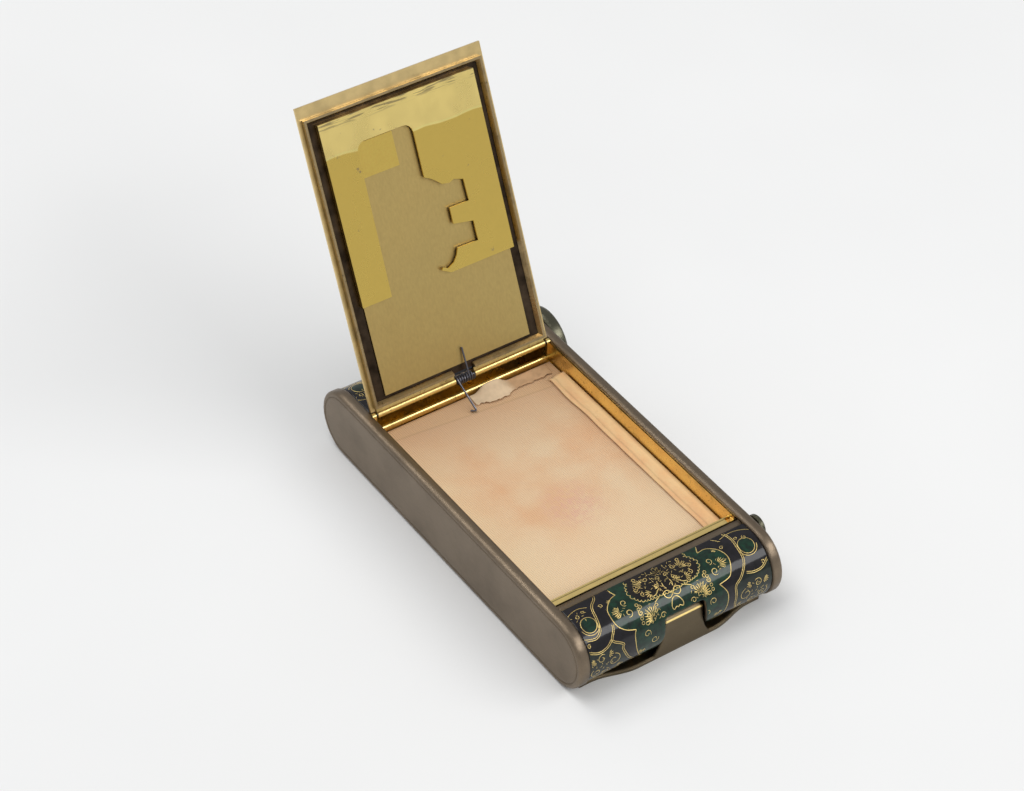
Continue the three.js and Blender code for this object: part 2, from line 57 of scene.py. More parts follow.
# Sizes in millimetres, as the solids have them.
# Round ends: their axis from the middle and over the floor, their shells' radius and half width
END_CENTRE = 37.4
END_RADIUS = 7.6
SHELL_RADIUS = 7.25
SHELL_HALF = 21.5
# The arc that a shell covers, and the flat strip that it starts with
SHELL_ARC = math.pi / 2 + math.asin(6.5 / SHELL_RADIUS)
FRONT_FLAT = 2.65
REAR_FLAT = 6.2
# Thumb notch: its top, half its width there and at its foot, its flare, its middle, its corners
NOTCH_TOP = 10.9
NOTCH_HALF = 4.75
NOTCH_FOOT_HALF = 8.2
NOTCH_FLARE = 2.4
NOTCH_CENTRE = 0.8
NOTCH_CORNER = 0.9
FOOT = 1.1
# Lid: hinge axis, opening, height of its outside over the axis, half width, start and end
HINGE = (0.0, 30.05, 14.55)
OPEN_ANGLE = math.radians(114.6)
LID_TOP = 0.65
LID_HALF = 21.4
LID_START = 0.85
LID_END = 64.65
# The room for the spring's coil in the lid's edge: its left, its right, its depth
COIL_ROOM = (-1.8, 3.2, 1.65)
GAUZE_TOP = 9.9

# Enamel: how far it stands over its metal and reaches into it, its gaps to the edges, its grids
ENAMEL_OVER = 0.03
ENAMEL_INTO = 0.02
END_GAP = 0.05
ROW_START = 0.02
LID_GAP = 0.1
END_GRID = 0.2
LID_GRID = 0.28
# Gaps of the gold lines to the ends' sides and notch, to their first and last row, to the lid's edge
LINE_GAP = 0.15
ROW_GAP = 0.1
LID_LINE_GAP = 0.3
# Rough widths beside the notch and across it, which set the number of columns there
BESIDE_NOTCH = 17
ACROSS_NOTCH = 9
# How much lower the drawing starts on the rear end than on the front one
REAR_SHIFT = 2.4

# A gold line: how far it stands out and reaches in, the flat share of its width. Leaves are higher
WIRE_UP = 0.035
WIRE_DOWN = -0.03
WIRE_FLAT = 0.55
LEAF_UP = 0.045
# Widths against a common gold line: outlines, scallops, leaves, the bow, small strokes
OUTLINE, SCALLOP, LEAF, BOW_LINE, STROKE = 1.35, 0.85, 1.15, 1.3, 0.65
# Gaps between double lines, and the length of a small stroke
END_DOUBLE, LID_DOUBLE = 0.34, 0.4
STROKE_LENGTH = 0.62
# Widths of the small arches on an end and on the lid, and how far an eye's ring and brow stand off it
END_ARCH, LID_ARCH = 0.62, 1.1
EYE_RING, EYE_BROW = 0.1, 0.55

# Lid drawing: its oval's half width and length to width, the medallion, its rings, its rosette, the
# circle of fans round that
OVAL_HALF, OVAL_LONG = 14.6, 1.54
MEDALLION_RADIUS = 6.4
MEDALLION_RINGS = (6.6, 7.0)
ROSETTE_RADIUS = 2.4
FAN_CIRCLE, FAN_COUNT = 4.4, 12

# Cloth and paper: thickness, the gauze's drop below its top, its slack and its sag
GAUZE_THICK = 0.12
GAUZE_DROP = 0.08
GAUZE_SLACK = 0.22
GAUZE_SAG = 0.3
# The tape: thickness, wander of its inner edge, rise to the wall, puckers, crease and its place
TAPE_THICK = 0.1
TAPE_WANDER = 0.28
TAPE_RISE = 0.972
TAPE_PUCKER = 0.22
TAPE_CREASE = 0.14
CREASE_PLACE, CREASE_SHARE = 0.28, 0.09
# The paper: thickness, height and place of its flap, half the flap's width, ripples
PAPER_THICK = 0.06
FLAP_LIFT = 1.7
FLAP_PLACE, FLAP_HALF = 6.2, 3.0
PAPER_RIPPLE = 0.16

# The camera was fitted to the photograph: focal length and image width in pixels, its turn as a
# rotation vector and the object's place before it, then scaled to the case's real size
FOCAL_PIXELS = 2950.6
IMAGE_WIDTH = 1024
SENSOR_WIDTH = 36.0
CAMERA_TURN = (2.21545639, -0.678501914, 0.340092792)
CAMERA_AWAY = (6.83619727, 25.1518648, 612.432085)
FIT_SCALE = 0.96
# Half the floor's width in metres, and the lamps: name, place, size in metres, watts
FLOOR_HALF = 4.0
LAMPS = [
    ("softbox front", (0.44, -0.6, 0.66), (0.95, 0.3), 3.9),
    ("softbox left", (-0.3, 0.15, 1.05), (0.6, 0.6), 3.4),
    ("softbox back", (-0.12, 0.62, 0.88), (0.5, 0.3), 2.0),
]


def linear(text):
    """The linear colour of an sRGB hex value."""
    parts = [int(text[k : k + 2], 16) / 255 for k in (1, 3, 5)]
    return [c / 12.92 if c <= 0.04045 else ((c + 0.055) / 1.055) ** 2.4 for c in parts] + [1.0]


def add(tree, kind, inputs=None, out=0, **settings):
    """Adds a node with its settings, links or sets its inputs, and returns one of its outputs."""
    node = tree.nodes.new(kind)
    for key, value in settings.items():
        if key == "stops":
            elements = node.color_ramp.elements
            while len(elements) < len(value):
                elements.new(1.0)
            for element, (place, tone) in zip(elements, value):
                element.position, element.color = place, tone
        else:
            setattr(node, key, value)
    for key, value in (inputs or {}).items():
        if isinstance(value, bpy.types.NodeSocket):
            tree.links.new(value, node.inputs[key])
        else:
            node.inputs[key].default_value = value
    return node.outputs[out] if node.outputs else node


# Node kinds, and the settings of a mix of two colours
NOISE, WAVE, RAMP = "ShaderNodeTexNoise", "ShaderNodeTexWave", "ShaderNodeValToRGB"
BUMP, MIX, MATH = "ShaderNodeBump", "ShaderNodeMix", "ShaderNodeMath"
VECTOR, SPLIT, RANGE = "ShaderNodeVectorMath", "ShaderNodeSeparateXYZ", "ShaderNodeMapRange"
ATTRIBUTE = "ShaderNodeAttribute"
BLEND = {"data_type": "RGBA", "blend_type": "MIX"}
OVERLAY = {"data_type": "RGBA", "blend_type": "OVERLAY"}


def start_material(name):
    """An empty material, and its place on the object in millimetres."""
    material = bpy.data.materials.new(name)
    material.use_nodes = True
    tree = material.node_tree
    tree.nodes.clear()
    place = add(tree, "ShaderNodeTexCoord", out="Object")
    mm = add(tree, VECTOR, {0: place, "Scale": 1000.0}, operation="SCALE")
    return material, tree, mm


def end_material(tree, shader):
    """Ends a material in one shader with the given inputs."""
    surface = add(tree, "ShaderNodeBsdfPrincipled", shader)
    add(tree, "ShaderNodeOutputMaterial", {"Surface": surface})


def shade(tone, factor=1.0):
    """A colour made lighter or darker, with its alpha."""
    return (*[c * factor for c in tone[:3]], 1.0)


def grey(value):
    """A grey colour, or a share for a mask."""
    return (value, value, value, 1.0)


def band(tree, value, low, high, soft):
    """1 between two levels of a value and 0 past them, with soft borders."""
    rise = add(tree, RANGE, {"Value": value, "From Min": low - soft, "From Max": low})
    fall = add(tree, RANGE, {"Value": value, "From Min": high + soft, "From Max": high})
    return add(tree, MATH, {0: rise, 1: fall}, operation="MULTIPLY")


def worn_metal(
    name, tones, cloud, gloss, grain, depth, drawn=(1, 1, 1), dirt_and_shade=None, painted_light_stripes=(), soft=0.0
):
    """A handled metal: its tones and gloss follow soft clouds, and a fine grain lies over them.

    cloud and grain are their sizes and depth is the grain's, all in mm. gloss holds the roughness
    of the clearest and of the dullest places. drawn stretches the grain, and the dirt colour tints
    its specks. The stripes are straight bands of painted highlight and painted shade, each an
    axis, two places along it and a tone. soft is the radius in mm that the shading of bends is
    rounded by.
    """
    material, tree, mm = start_material(name)
    clouds = add(tree, NOISE, {"Vector": mm, "Scale": 1 / cloud, "Detail": 5.0, "Roughness": 0.55})
    tone = add(tree, RAMP, {"Fac": clouds}, stops=tones)
    along = add(tree, "ShaderNodeMapping", {"Vector": mm, "Scale": drawn})
    fine = add(tree, NOISE, {"Vector": along, "Scale": 1 / grain, "Detail": 3.0})
    lines = add(tree, RAMP, {"Fac": fine}, stops=[(0.3, grey(0.45)), (0.7, grey(0.56))])
    tone = add(tree, MIX, {0: 0.5, 6: tone, 7: lines}, 2, **OVERLAY)
    if dirt_and_shade is not None:
        specks = add(tree, NOISE, {"Vector": mm, "Scale": 1.4, "Detail": 8.0, "Roughness": 0.65})
        share = add(tree, RAMP, {"Fac": specks}, stops=[(0.58, grey(0.0)), (0.72, grey(0.75))])
        tone = add(tree, MIX, {0: share, 6: tone, 7: shade(dirt_and_shade)}, 2, **BLEND)
    for axis, low, high, stripe_light in painted_light_stripes:
        line = band(tree, add(tree, SPLIT, {0: mm}, axis), low, high, 0.1)
        tone = add(tree, MIX, {0: line, 6: tone, 7: stripe_light}, 2, **BLEND)
    rough = add(tree, RAMP, {"Fac": clouds}, stops=[(0.3, grey(gloss[1])), (0.7, grey(gloss[0]))])
    bumps = {"Height": fine, "Distance": depth / 1000.0}
    if soft:
        bumps["Normal"] = add(tree, "ShaderNodeBevel", {"Radius": soft / 1000.0}, samples=4)
    bumps = add(tree, BUMP, bumps)
    end_material(tree, {"Base Color": tone, "Roughness": rough, "Normal": bumps, "Metallic": 1.0})
    return material


def mesh_piece(name, points, faces, body, material, values=None):
    """Makes a smooth piece from points in millimetres, and sets it on its body.

    values are numbers on its points, by name.
    """
    mesh = bpy.data.meshes.new(name)
    mesh.from_pydata((np.asarray(points, float) / 1000.0).tolist(), [], faces)
    for key, data in (values or {}).items():
        attribute = mesh.attributes.new(key, "FLOAT", "POINT")
        attribute.data.foreach_set("value", np.asarray(data, np.float32))
    mesh.polygons.foreach_set("use_smooth", [True] * len(mesh.polygons))
    mesh.materials.append(material)
    mesh.update()
    piece = bpy.data.objects.new(name, mesh)
    bpy.context.scene.collection.objects.link(piece)
    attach(piece, body)
    return piece


def finish_node(name, material):
    """Gives a CAD node its material."""
    for slot in frame["nodes"][name].material_slots:
        slot.material = material


# Places on the enamelled surfaces: u across the case, v along the surface, h above it


def front_place(u, v, h):
    """Here v starts at the flat strip's inner edge and runs down the round end."""
    angle = np.clip((v - FRONT_FLAT) / SHELL_RADIUS, 0, None)
    radius = SHELL_RADIUS + h
    y = -END_CENTRE + np.clip(FRONT_FLAT - v, 0, None) - radius * np.sin(angle)
    return np.stack([u + 0 * v, y + 0 * u, END_RADIUS + radius * np.cos(angle) + 0 * u], -1)


def rear_place(u, v, h):
    """As front_place, at the hinge end."""
    angle = np.clip((v - REAR_FLAT) / SHELL_RADIUS, 0, None)
    radius = SHELL_RADIUS + h
    y = END_CENTRE - np.clip(REAR_FLAT - v, 0, None) + radius * np.sin(angle)
    return np.stack([u + 0 * v, y + 0 * u, END_RADIUS + radius * np.cos(angle) + 0 * u], -1)


def lid_place(u, v, h):
    """Here v is the distance from the hinge axis."""
    up = LID_TOP + h + 0 * v
    y = HINGE[1] - v * math.cos(OPEN_ANGLE) + up * math.sin(OPEN_ANGLE)
    height = HINGE[2] + v * math.sin(OPEN_ANGLE) + up * math.cos(OPEN_ANGLE)
    return np.stack([u + 0 * v, y + 0 * u, height + 0 * u], -1)


def notch_half(v):
    """Half the thumb notch's width at v on the front shell. Above the notch it is half its top's."""
    z = END_RADIUS + SHELL_RADIUS * math.cos((v - FRONT_FLAT) / SHELL_RADIUS)
    if z >= NOTCH_TOP:
        return NOTCH_HALF - NOTCH_CORNER
    half = NOTCH_HALF + (NOTCH_FOOT_HALF - NOTCH_HALF) * math.exp(-(z - FOOT) / NOTCH_FLARE)
    below = NOTCH_CORNER - (NOTCH_TOP - z)
    if below > 0:
        half -= NOTCH_CORNER - math.sqrt(NOTCH_CORNER**2 - below**2)
    return half


def smooth_line(points, step=0.25):
    """An even row of points on a smooth line through the given ones; None parts it at a cusp."""
    runs, run = [], []
    for point in [*points, None]:
        if point is None:
            runs.append(run)
            run = [run[-1]] if run else []
        else:
            run.append(point)
    rows = []
    for run in (r for r in runs if len(r) > 1):
        knots = np.array([run[0], *run, run[-1]], float)
        row = [knots[1]]
        for k in range(1, len(knots) - 2):
            p0, p1, p2, p3 = knots[k - 1 : k + 3]
            count = max(2, int(np.linalg.norm(p2 - p1) / step))
            t = np.arange(1, count + 1)[:, None] / count
            bend = 2 * p0 - 5 * p1 + 4 * p2 - p3
            twist = 3 * p1 - p0 - 3 * p2 + p3
            row.extend(0.5 * (2 * p1 + (p2 - p0) * t + bend * t**2 + twist * t**3))
        rows.append(np.array(row))
    return rows


def normals(row):
    """The direction across a row at each of its points."""
    tangent = np.gradient(row, axis=0)
    length = np.maximum(np.linalg.norm(tangent, axis=1, keepdims=True), 1e-9)
    tangent = tangent / length
    return np.stack([-tangent[:, 1], tangent[:, 0]], 1)


def on_circle(centre, radius, angle):
    """Points round a centre."""
    return np.stack([centre[0] + radius * np.cos(angle), centre[1] + radius * np.sin(angle)], -1)


class Lines:
    """Gathers raised lines of fused gold wire into one mesh."""

    def __init__(self, place, inside):
        self.place, self.inside = place, inside
        self.points, self.faces = [], []

    def row(self, row, width, height=WIRE_UP, taper=0.0):
        """One line, parted where it would leave the enamel."""
        row = np.asarray(row, float)
        start = None
        for k, good in enumerate([*(self.inside(u, v) for u, v in row), False]):
            if good and start is None:
                start = k
            elif not good and start is not None:
                if k - start > 2:
                    self._strip(row[start:k], width, height, taper)
                start = None

    def _strip(self, row, width, height, taper):
        """A low bar along a row, with a slanted side on each hand and closed ends."""
        count = len(row)
        share = np.linspace(0, 1, count)
        half = width / 2 * (1 - taper * np.abs(2 * share - 1) ** 3)[:, None]
        across = normals(row) * half
        section = [(-1.0, WIRE_DOWN), (-WIRE_FLAT, height), (WIRE_FLAT, height), (1.0, WIRE_DOWN)]
        rings = [self.place(*(row + across * side).T, np.full(count, up)) for side, up in section]
        base = sum(len(p) for p in self.points)
        self.points.append(np.stack(rings, 1).reshape(-1, 3))
        for k in range(count - 1):
            a, b = base + 4 * k, base + 4 * k + 4
            for s in range(4):
                e = (s + 1) % 4
                self.faces.append((a + s, a + e, b + e, b + s))
        end = base + 4 * (count - 1)
        self.faces.append((base + 3, base + 2, base + 1, base))
        self.faces.append((end, end + 1, end + 2, end + 3))

    def line(self, points, width):
        """A smooth line through points."""
        for row in smooth_line(points):
            self.row(row, width)

    def double(self, points, width, gap):
        """Two lines side by side, gap apart."""
        for row in smooth_line(points):
            across = normals(row) * gap / 2
            self.row(row + across, width)
            self.row(row - across, width)

    def ring(self, centre, radius, width, start=0.0, turns=1.0):
        """A ring, or a part of one."""
        count = max(8, int(abs(turns) * 2 * math.pi * radius / 0.15))
        angle = start + np.linspace(0, turns * 2 * math.pi, count)
        self.row(on_circle(centre, radius, angle), width)

    def leaf(self, start, heading, length, width):
        """A small pointed leaf or petal, solid gold."""
        direction = np.array([math.cos(heading), math.sin(heading)])
        row = np.array(start) + np.outer(np.linspace(0, length, 9), direction)
        self.row(row, width, LEAF_UP, taper=1.0)

    def rosette(self, centre, radius, petals, width):
        """Petals round a small ring."""
        for k in range(petals):
            heading = 2 * math.pi * k / petals + math.pi / petals
            off = 0.3 * radius
            self.leaf(on_circle(centre, off, heading), heading, 0.7 * radius, 1.5 * radius / petals)
        self.ring(centre, 0.24 * radius, width)

    def scroll(self, centre, radius, start, hand, width):
        """A ring that winds inwards, a little narrower towards its ends."""
        share = np.linspace(0, 1, max(16, int(radius * 36)))
        angle = start + hand * share * 2.2 * math.pi
        reach = 1.15 * radius * (1 - 0.68 * share)
        self.row(on_circle(centre, reach, angle), width, taper=0.2)

    def palmette(self, centre, heading, length, leaves, spread, width):
        """A fan of small pointed leaves, longest in its middle."""
        for share in np.linspace(-1, 1, leaves):
            angle = heading + share * spread
            start = on_circle(centre, 0.3 * length, angle)
            self.leaf(start, angle, length * (0.75 - 0.25 * abs(share)), width)

    def scallops(self, points, size, width):
        """Small arches side by side along a line, on its right."""
        for row in smooth_line(points, size):
            for a, b in zip(row[:-1], row[1:]):
                reach = (b - a) / 2
                side = np.array([reach[1], -reach[0]])
                angle = np.linspace(0, math.pi, 9)[:, None]
                self.row((a + b) / 2 - reach * np.cos(angle) + 1.2 * side * np.sin(angle), width)

    def piece(self, name, body, material):
        """Makes one piece of all lines so far."""
        points = np.concatenate(self.points)
        return mesh_piece(name, points, self.faces, body, material)


def distance_to(points, outline):
    """Signed distance from points to a closed outline, above 0 inside it."""
    outline = np.asarray(outline, float)
    start, end = outline, np.roll(outline, -1, axis=0)
    best = np.full(len(points), 1e9)
    inside = np.zeros(len(points), bool)
    for a, b in zip(start, end):
        edge = b - a
        t = np.clip(((points - a) @ edge) / max(edge @ edge, 1e-12), 0, 1)
        best = np.minimum(best, np.linalg.norm(points - a - t[:, None] * edge, axis=1))
        if a[1] != b[1]:
            crosses = (a[1] > points[:, 1]) != (b[1] > points[:, 1])
            at = a[0] + (points[:, 1] - a[1]) * edge[0] / edge[1]
            inside ^= crosses & (points[:, 0] < at)
    return np.where(inside, best, -best)


def enamel_layer(name, place, columns, rows, keep, zones, body, material):
    """A thin fused layer of enamel over a grid of u and v.

    keep says which fields of the grid it covers. Each zone, the outlines of one colour, leaves the
    distance to its edge on the points, above 0 inside it.
    """
    u, v = np.asarray(columns), np.asarray(rows)
    count = u.size
    top = place(u.ravel(), v.ravel(), np.zeros(count) + ENAMEL_OVER)
    low = place(u.ravel(), v.ravel(), np.zeros(count) - ENAMEL_INTO)
    flat = np.stack([u.ravel(), v.ravel()], 1)
    height, width = u.shape
    number = np.arange(count).reshape(height, width)
    corners = [number[:-1, :-1], number[:-1, 1:], number[1:, 1:], number[1:, :-1]]
    quads = np.stack([c[keep] for c in corners], 1)
    first = top[quads[0]]
    upward = np.cross(first[1] - first[0], first[3] - first[0])
    spot = flat[quads[0, 0]][:, None]
    outward = place(*spot, np.array([1.0]))[0] - place(*spot, np.array([0.0]))[0]
    if upward @ outward < 0:
        quads = quads[:, ::-1]
    edges = np.concatenate([quads[:, [k, (k + 1) % 4]] for k in range(4)])
    keys = {(a, b) for a, b in edges.tolist()}
    sides = [(a, b) for a, b in keys if (b, a) not in keys]
    faces = quads.tolist() + (quads[:, ::-1] + count).tolist()
    faces += [(b, a, a + count, b + count) for a, b in sides]
    used = np.unique(quads)
    lookup = np.full(2 * count, -1)
    chosen = np.concatenate([used, used + count])
    lookup[chosen] = np.arange(len(chosen))
    faces = [tuple(int(lookup[k]) for k in face) for face in faces]
    values = {}
    for key, outlines in zones.items():
        field = np.full(len(used), -5.0)
        for outline in outlines:
            field = np.maximum(field, distance_to(flat[used], outline))
        values[key] = np.concatenate([field, field])
    points = np.concatenate([top, low])[chosen]
    return mesh_piece(name, points, faces, body, material, values=values)


def circle(centre, radius, count=40):
    """A closed outline of count points."""
    return on_circle(centre, radius, np.linspace(0, 2 * math.pi, count, endpoint=False))


# The enamel pattern on the front end, in u and v: outlines first, then motifs

SINGLE_LEFT = [
    (-11.2, -0.1), (-10.8, 1.6), (-10.5, 2.1), None, (-12.1, 2.6), (-13.7, 4.0), (-14.2, 5.1),
    (-14.2, 6.8), (-13.7, 8.2), (-12.3, 9.4), (-10.4, 10.1), None, (-10.9, 11.2), (-10.9, 13.4),
    (-10.4, 15.4), (-9.6, 17.1), (-8.2, 20.1), (-7.1, 22.4),
]
SINGLE_RIGHT = [
    (10.0, -0.2), (9.1, 1.7), None, (11.0, 1.6), (12.7, 2.8), (13.6, 4.6), (13.6, 6.2), (12.7, 8.2),
    (11.8, 9.0), (9.5, 9.4), None, (10.4, 10.7), (10.9, 12.1), (10.7, 14.6), (10.2, 17.1),
    (9.1, 19.8), (8.2, 22.4),
]
DOUBLE_LEFT = [
    (-14.1, -0.3), (-14.6, 0.9), (-15.8, 1.9), (-16.5, 3.2), (-16.9, 5.1), (-17.2, 6.5),
    (-17.6, 7.5), (-18.9, 8.3), (-20.9, 7.9), (-21.6, 7.5),
]
DOUBLE_LEFT_LOW = [
    (-14.6, 7.3), (-15.0, 8.4), (-15.8, 9.7), (-15.5, 10.4), (-13.7, 11.6), (-13.9, 12.6),
    (-12.6, 15.4), (-10.9, 17.6), (-9.6, 20.4), (-9.3, 22.4),
]
LOBE_LEFT = [(-15.8, 9.7), (-17.3, 10.8), (-19.3, 11.1), (-21.6, 10.1)]
BROW_LEFT = [(-21.6, 2.2), (-20.5, 1.6), (-18.7, 1.3), (-16.9, 1.9)]
DOUBLE_RIGHT = [
    (15.9, -0.3), (16.6, 0.9), (16.8, 2.5), (16.6, 4.3), (16.4, 6.8), (15.7, 8.4), (14.3, 10.1),
    (12.9, 11.2), (12.8, 13.2), (12.7, 15.4), (13.2, 17.6), (12.4, 20.0), (11.8, 22.4),
]
BROW_RIGHT = [(13.2, 0.1), (14.6, 1.6)]
ARCH_RIGHT = [(14.9, 1.1), (16.8, 0.7), (18.8, 0.8), (20.7, 1.5), (21.6, 2.2)]
LOW_RIGHT = [(15.9, 9.6), (17.4, 10.1), (19.1, 10.1), (20.2, 9.6), (21.6, 8.4)]
# The two round eyes: middle, radius of the enamel, radius of the gold line
EYES = [((-18.9, 5.4), 1.45, 1.5), ((18.5, 4.8), 1.55, 1.6)]
MEDALLION = [
    (-7.0, 1.0), (-6.2, -0.3), (5.5, -0.3), (6.2, 1.0), (7.3, 2.8), (7.0, 4.6), (5.4, 5.8),
    (2.8, 6.0), (-0.4, 6.3), (-3.6, 6.0), (-6.2, 5.8), (-7.8, 4.6), (-8.1, 2.8),
]
# The drawing's middle line, and its motifs on the right of it; the left has them mirrored
MIDDLE = -0.35
SCROLLS = [
    (10.1, 6.7, 0.72), (10.0, 4.5, 0.62), (7.8, 12.0, 0.72), (6.2, 14.0, 0.78), (18.4, 12.6, 0.85),
    (15.6, 14.2, 1.3), (19.6, 15.6, 1.1), (17.4, 17.2, 0.9), (14.6, 17.8, 0.9), (19.4, 19.0, 1.1),
    (16.4, 20.3, 1.1), (8.8, 18.2, 0.8), (3.6, 9.9, 0.55), (7.3, 9.9, 0.5), (7.9, 7.6, 0.5),
    (7.6, 6.6, 0.4), (3.2, 1.9, 0.5), (0.9, 2.9, 0.42), (5.2, 0.9, 0.42), (5.6, 4.6, 0.42),
    (2.3, 4.4, 0.42), (6.3, 3.2, 0.4), (20.4, 9.1, 0.4), (19.6, 3.0, 0.45), (17.9, 2.4, 0.35),
    (14.2, 3.0, 0.4), (6.6, 8.6, 0.42), (4.2, 7.6, 0.42),
]
# Fans of leaves: place, heading, length, number of leaves, half their spread
PALMETTES = [
    (11.0, 5.7, 0.0, 2.6, 7, 0.7), (8.8, 15.0, 1.3, 1.9, 6, 0.8), (5.6, 9.4, -1.0, 2.6, 11, 1.5),
    (5.7, 9.7, -0.5, 1.5, 8, 1.4), (0.0, 2.4, -1.57, 2.2, 7, 1.1), (4.3, 2.9, -0.7, 2.2, 7, 0.9),
    (1.6, 4.7, -0.2, 1.5, 6, 1.2), (3.9, 5.0, 0.2, 1.6, 6, 1.0), (19.6, 12.4, 0.4, 1.6, 6, 0.8),
    (17.0, 12.2, 2.9, 1.5, 5, 0.8), (13.6, 16.0, 1.0, 1.6, 5, 0.9), (18.4, 18.4, 2.4, 1.7, 6, 0.9),
    (15.0, 20.8, 0.4, 1.5, 5, 0.9), (20.4, 20.6, 1.8, 1.6, 5, 0.8), (12.0, 3.3, -0.9, 1.1, 4, 0.6),
]
# Fields of small strokes: place, half width, half height, number
STIPPLES = [
    (-0.4, 3.0, 7.0, 2.9, 90), (-6.0, 8.6, 2.0, 1.9, 26), (5.3, 8.6, 2.0, 1.9, 26),
    (-18.6, 16.6, 2.8, 4.8, 34), (18.0, 16.6, 2.8, 4.8, 34), (-19.6, 3.2, 1.6, 1.2, 6),
    (-12.2, 5.8, 1.4, 1.0, 8), (11.6, 5.8, 1.4, 1.0, 8),
]
# Single lines of the middle motif: the bow, the strokes beside it, the loop below it
BOW = [
    [(0.0, 6.9), (0.8, 6.0), (1.8, 6.2), (1.7, 7.1), (0.9, 7.5), (0.0, 6.9)],
    [(0.0, 7.6), (0.7, 7.9), (1.3, 9.2), (1.0, 9.9), (0.4, 9.5), (0.0, 9.8)],
    [(0.9, 4.2), (1.0, 5.0), (0.7, 5.6)],
    [(3.0, 6.5), (3.6, 6.7), (4.3, 7.1)],
    [(2.6, 5.3), (3.3, 5.8), (4.0, 5.9)],
]
# The rings between the cartouche and the bow: place of the first, step to the next, radius, number
RINGS = (8.0, 6.0, 0.05, 0.9, 0.3, 5)

# Motifs on a quarter of the lid's outside, from its middle: place, heading, size
LID_MOTIFS = [
    (4.6, 9.8, 1.2, 2.6), (9.4, 10.4, 0.6, 2.4), (3.0, 15.4, 1.7, 2.6), (7.6, 16.4, 2.4, 2.2),
    (10.8, 5.2, 1.5, 2.2), (11.6, 1.6, 0.8, 1.6), (13.4, 27.2, 0.8, 2.4), (17.6, 28.6, 2.0, 2.4),
    (18.6, 23.6, -1.2, 2.2), (9.0, 24.4, 0.9, 1.8), (18.2, 15.0, 1.6, 2.4), (18.4, 7.6, 1.4, 2.4),
    (5.0, 26.8, 0.4, 2.4), (17.2, 11.2, -1.5, 1.8), (1.8, 20.0, 0.9, 1.9), (18.0, 2.6, 1.5, 2.0),
    (15.0, 19.6, 0.6, 2.0), (1.4, 24.6, 1.2, 1.6), (8.6, 30.4, 0.1, 1.6), (13.2, 23.2, 2.0, 1.5),
]
# A corner field of the lid, from its middle
LID_CORNER = [(21.8, 32.4), (9.5, 32.4), (11.0, 28.6), (15.4, 26.0), (17.6, 21.0), (21.8, 19.5)]


def joined(points):
    """One smooth row through points, cusps and all."""
    return np.concatenate(smooth_line(points))


def enamel_zones():
    """The outlines of each enamel colour on an end: green, brown and grey."""
    cartouche = np.concatenate([joined(SINGLE_LEFT), joined(SINGLE_RIGHT)[::-1]])
    eyes = [circle(centre, radius) for centre, radius, _ in EYES]
    left_low = [(-21.8, 22.6), (-21.8, 10.3)]
    left_field = np.concatenate([joined(DOUBLE_LEFT_LOW), left_low, joined(LOBE_LEFT)[::-1]])
    right_low = [(21.8, 22.6), (21.8, 8.6)]
    right_field = np.concatenate([joined(DOUBLE_RIGHT[5:]), right_low, joined(LOW_RIGHT)[::-1]])
    return {
        "green": [cartouche, *eyes],
        "brown": [joined([*MEDALLION, MEDALLION[0]])],
        "grey": [left_field, right_field],
    }


def draw_end(lines, gold):
    """The gold lines of one enamelled end."""
    for points in (SINGLE_LEFT, SINGLE_RIGHT):
        lines.line(points, OUTLINE * gold)
    for points in (DOUBLE_LEFT, DOUBLE_LEFT_LOW, LOBE_LEFT, DOUBLE_RIGHT, LOW_RIGHT):
        lines.double(points, gold, END_DOUBLE)
    for points in (BROW_LEFT, BROW_RIGHT, ARCH_RIGHT):
        lines.line(points, gold)
    lines.scallops([*MEDALLION, MEDALLION[0]], END_ARCH, SCALLOP * gold)
    for centre, _, radius in EYES:
        lines.ring(centre, radius + EYE_RING, gold)
        lines.ring(centre, radius + EYE_BROW, gold, start=0.2, turns=0.42)
    for side in (-1, 1):
        for k, (u, v, radius) in enumerate(SCROLLS):
            start = 1.1 + 0.7 * k
            spot = (MIDDLE + side * u, v)
            turned = start if side > 0 else math.pi - start
            lines.scroll(spot, radius, turned, side * (-1) ** k, gold)
        for u, v, heading, length, leaves, spread in PALMETTES:
            turned = heading if side > 0 else math.pi - heading
            spot = (MIDDLE + side * u, v)
            lines.palmette(spot, turned, 0.88 * length, leaves, spread, LEAF * gold)
        for row in BOW:
            lines.line([(MIDDLE + side * u, v) for u, v in row], BOW_LINE * gold)
        u, v, across, up, radius, count = RINGS
        for k in range(count):
            lines.ring((MIDDLE + side * (u + across * k), v + up * k), radius, SCALLOP * gold)
    # Strokes lie on a sunflower's spiral, each turned on from the last
    for u, v, across, up, count in STIPPLES:
        for k in range(count):
            turn, reach = 2.4 * k, math.sqrt((k + 0.5) / count)
            spot = (u + across * reach * math.cos(turn), v + up * reach * math.sin(turn))
            lines.leaf(spot, 3.7 * turn, STROKE_LENGTH, STROKE * gold)


def colour(name, text, description):
    """A colour setting from a hex value."""
    value = linear(text)[:3]
    return bpy.props.FloatVectorProperty(
        name=name, description=description, subtype="COLOR", size=3, min=0.0, max=1.0, default=value
    )


class EnamelSettings(bpy.types.PropertyGroup):
    ground: colour("Ground", "#120F14", "Dark violet enamel between the gold lines")
    green: colour("Green", "#0B3020", "Green enamel inside the cartouche")
    brown: colour("Brown", "#140E0A", "Brown enamel of the medallion")
    grey: colour("Grey green", "#18231C", "Grey-green enamel of the lower corners")
    gold: colour("Gold wire", "#EBCF84", "Fused gold wire")
    wire: bpy.props.FloatProperty(
        name="Gold wire", description="Width of one gold line", default=0.00019,
        min=0.00005, max=0.001, unit="LENGTH", precision=5,
    )


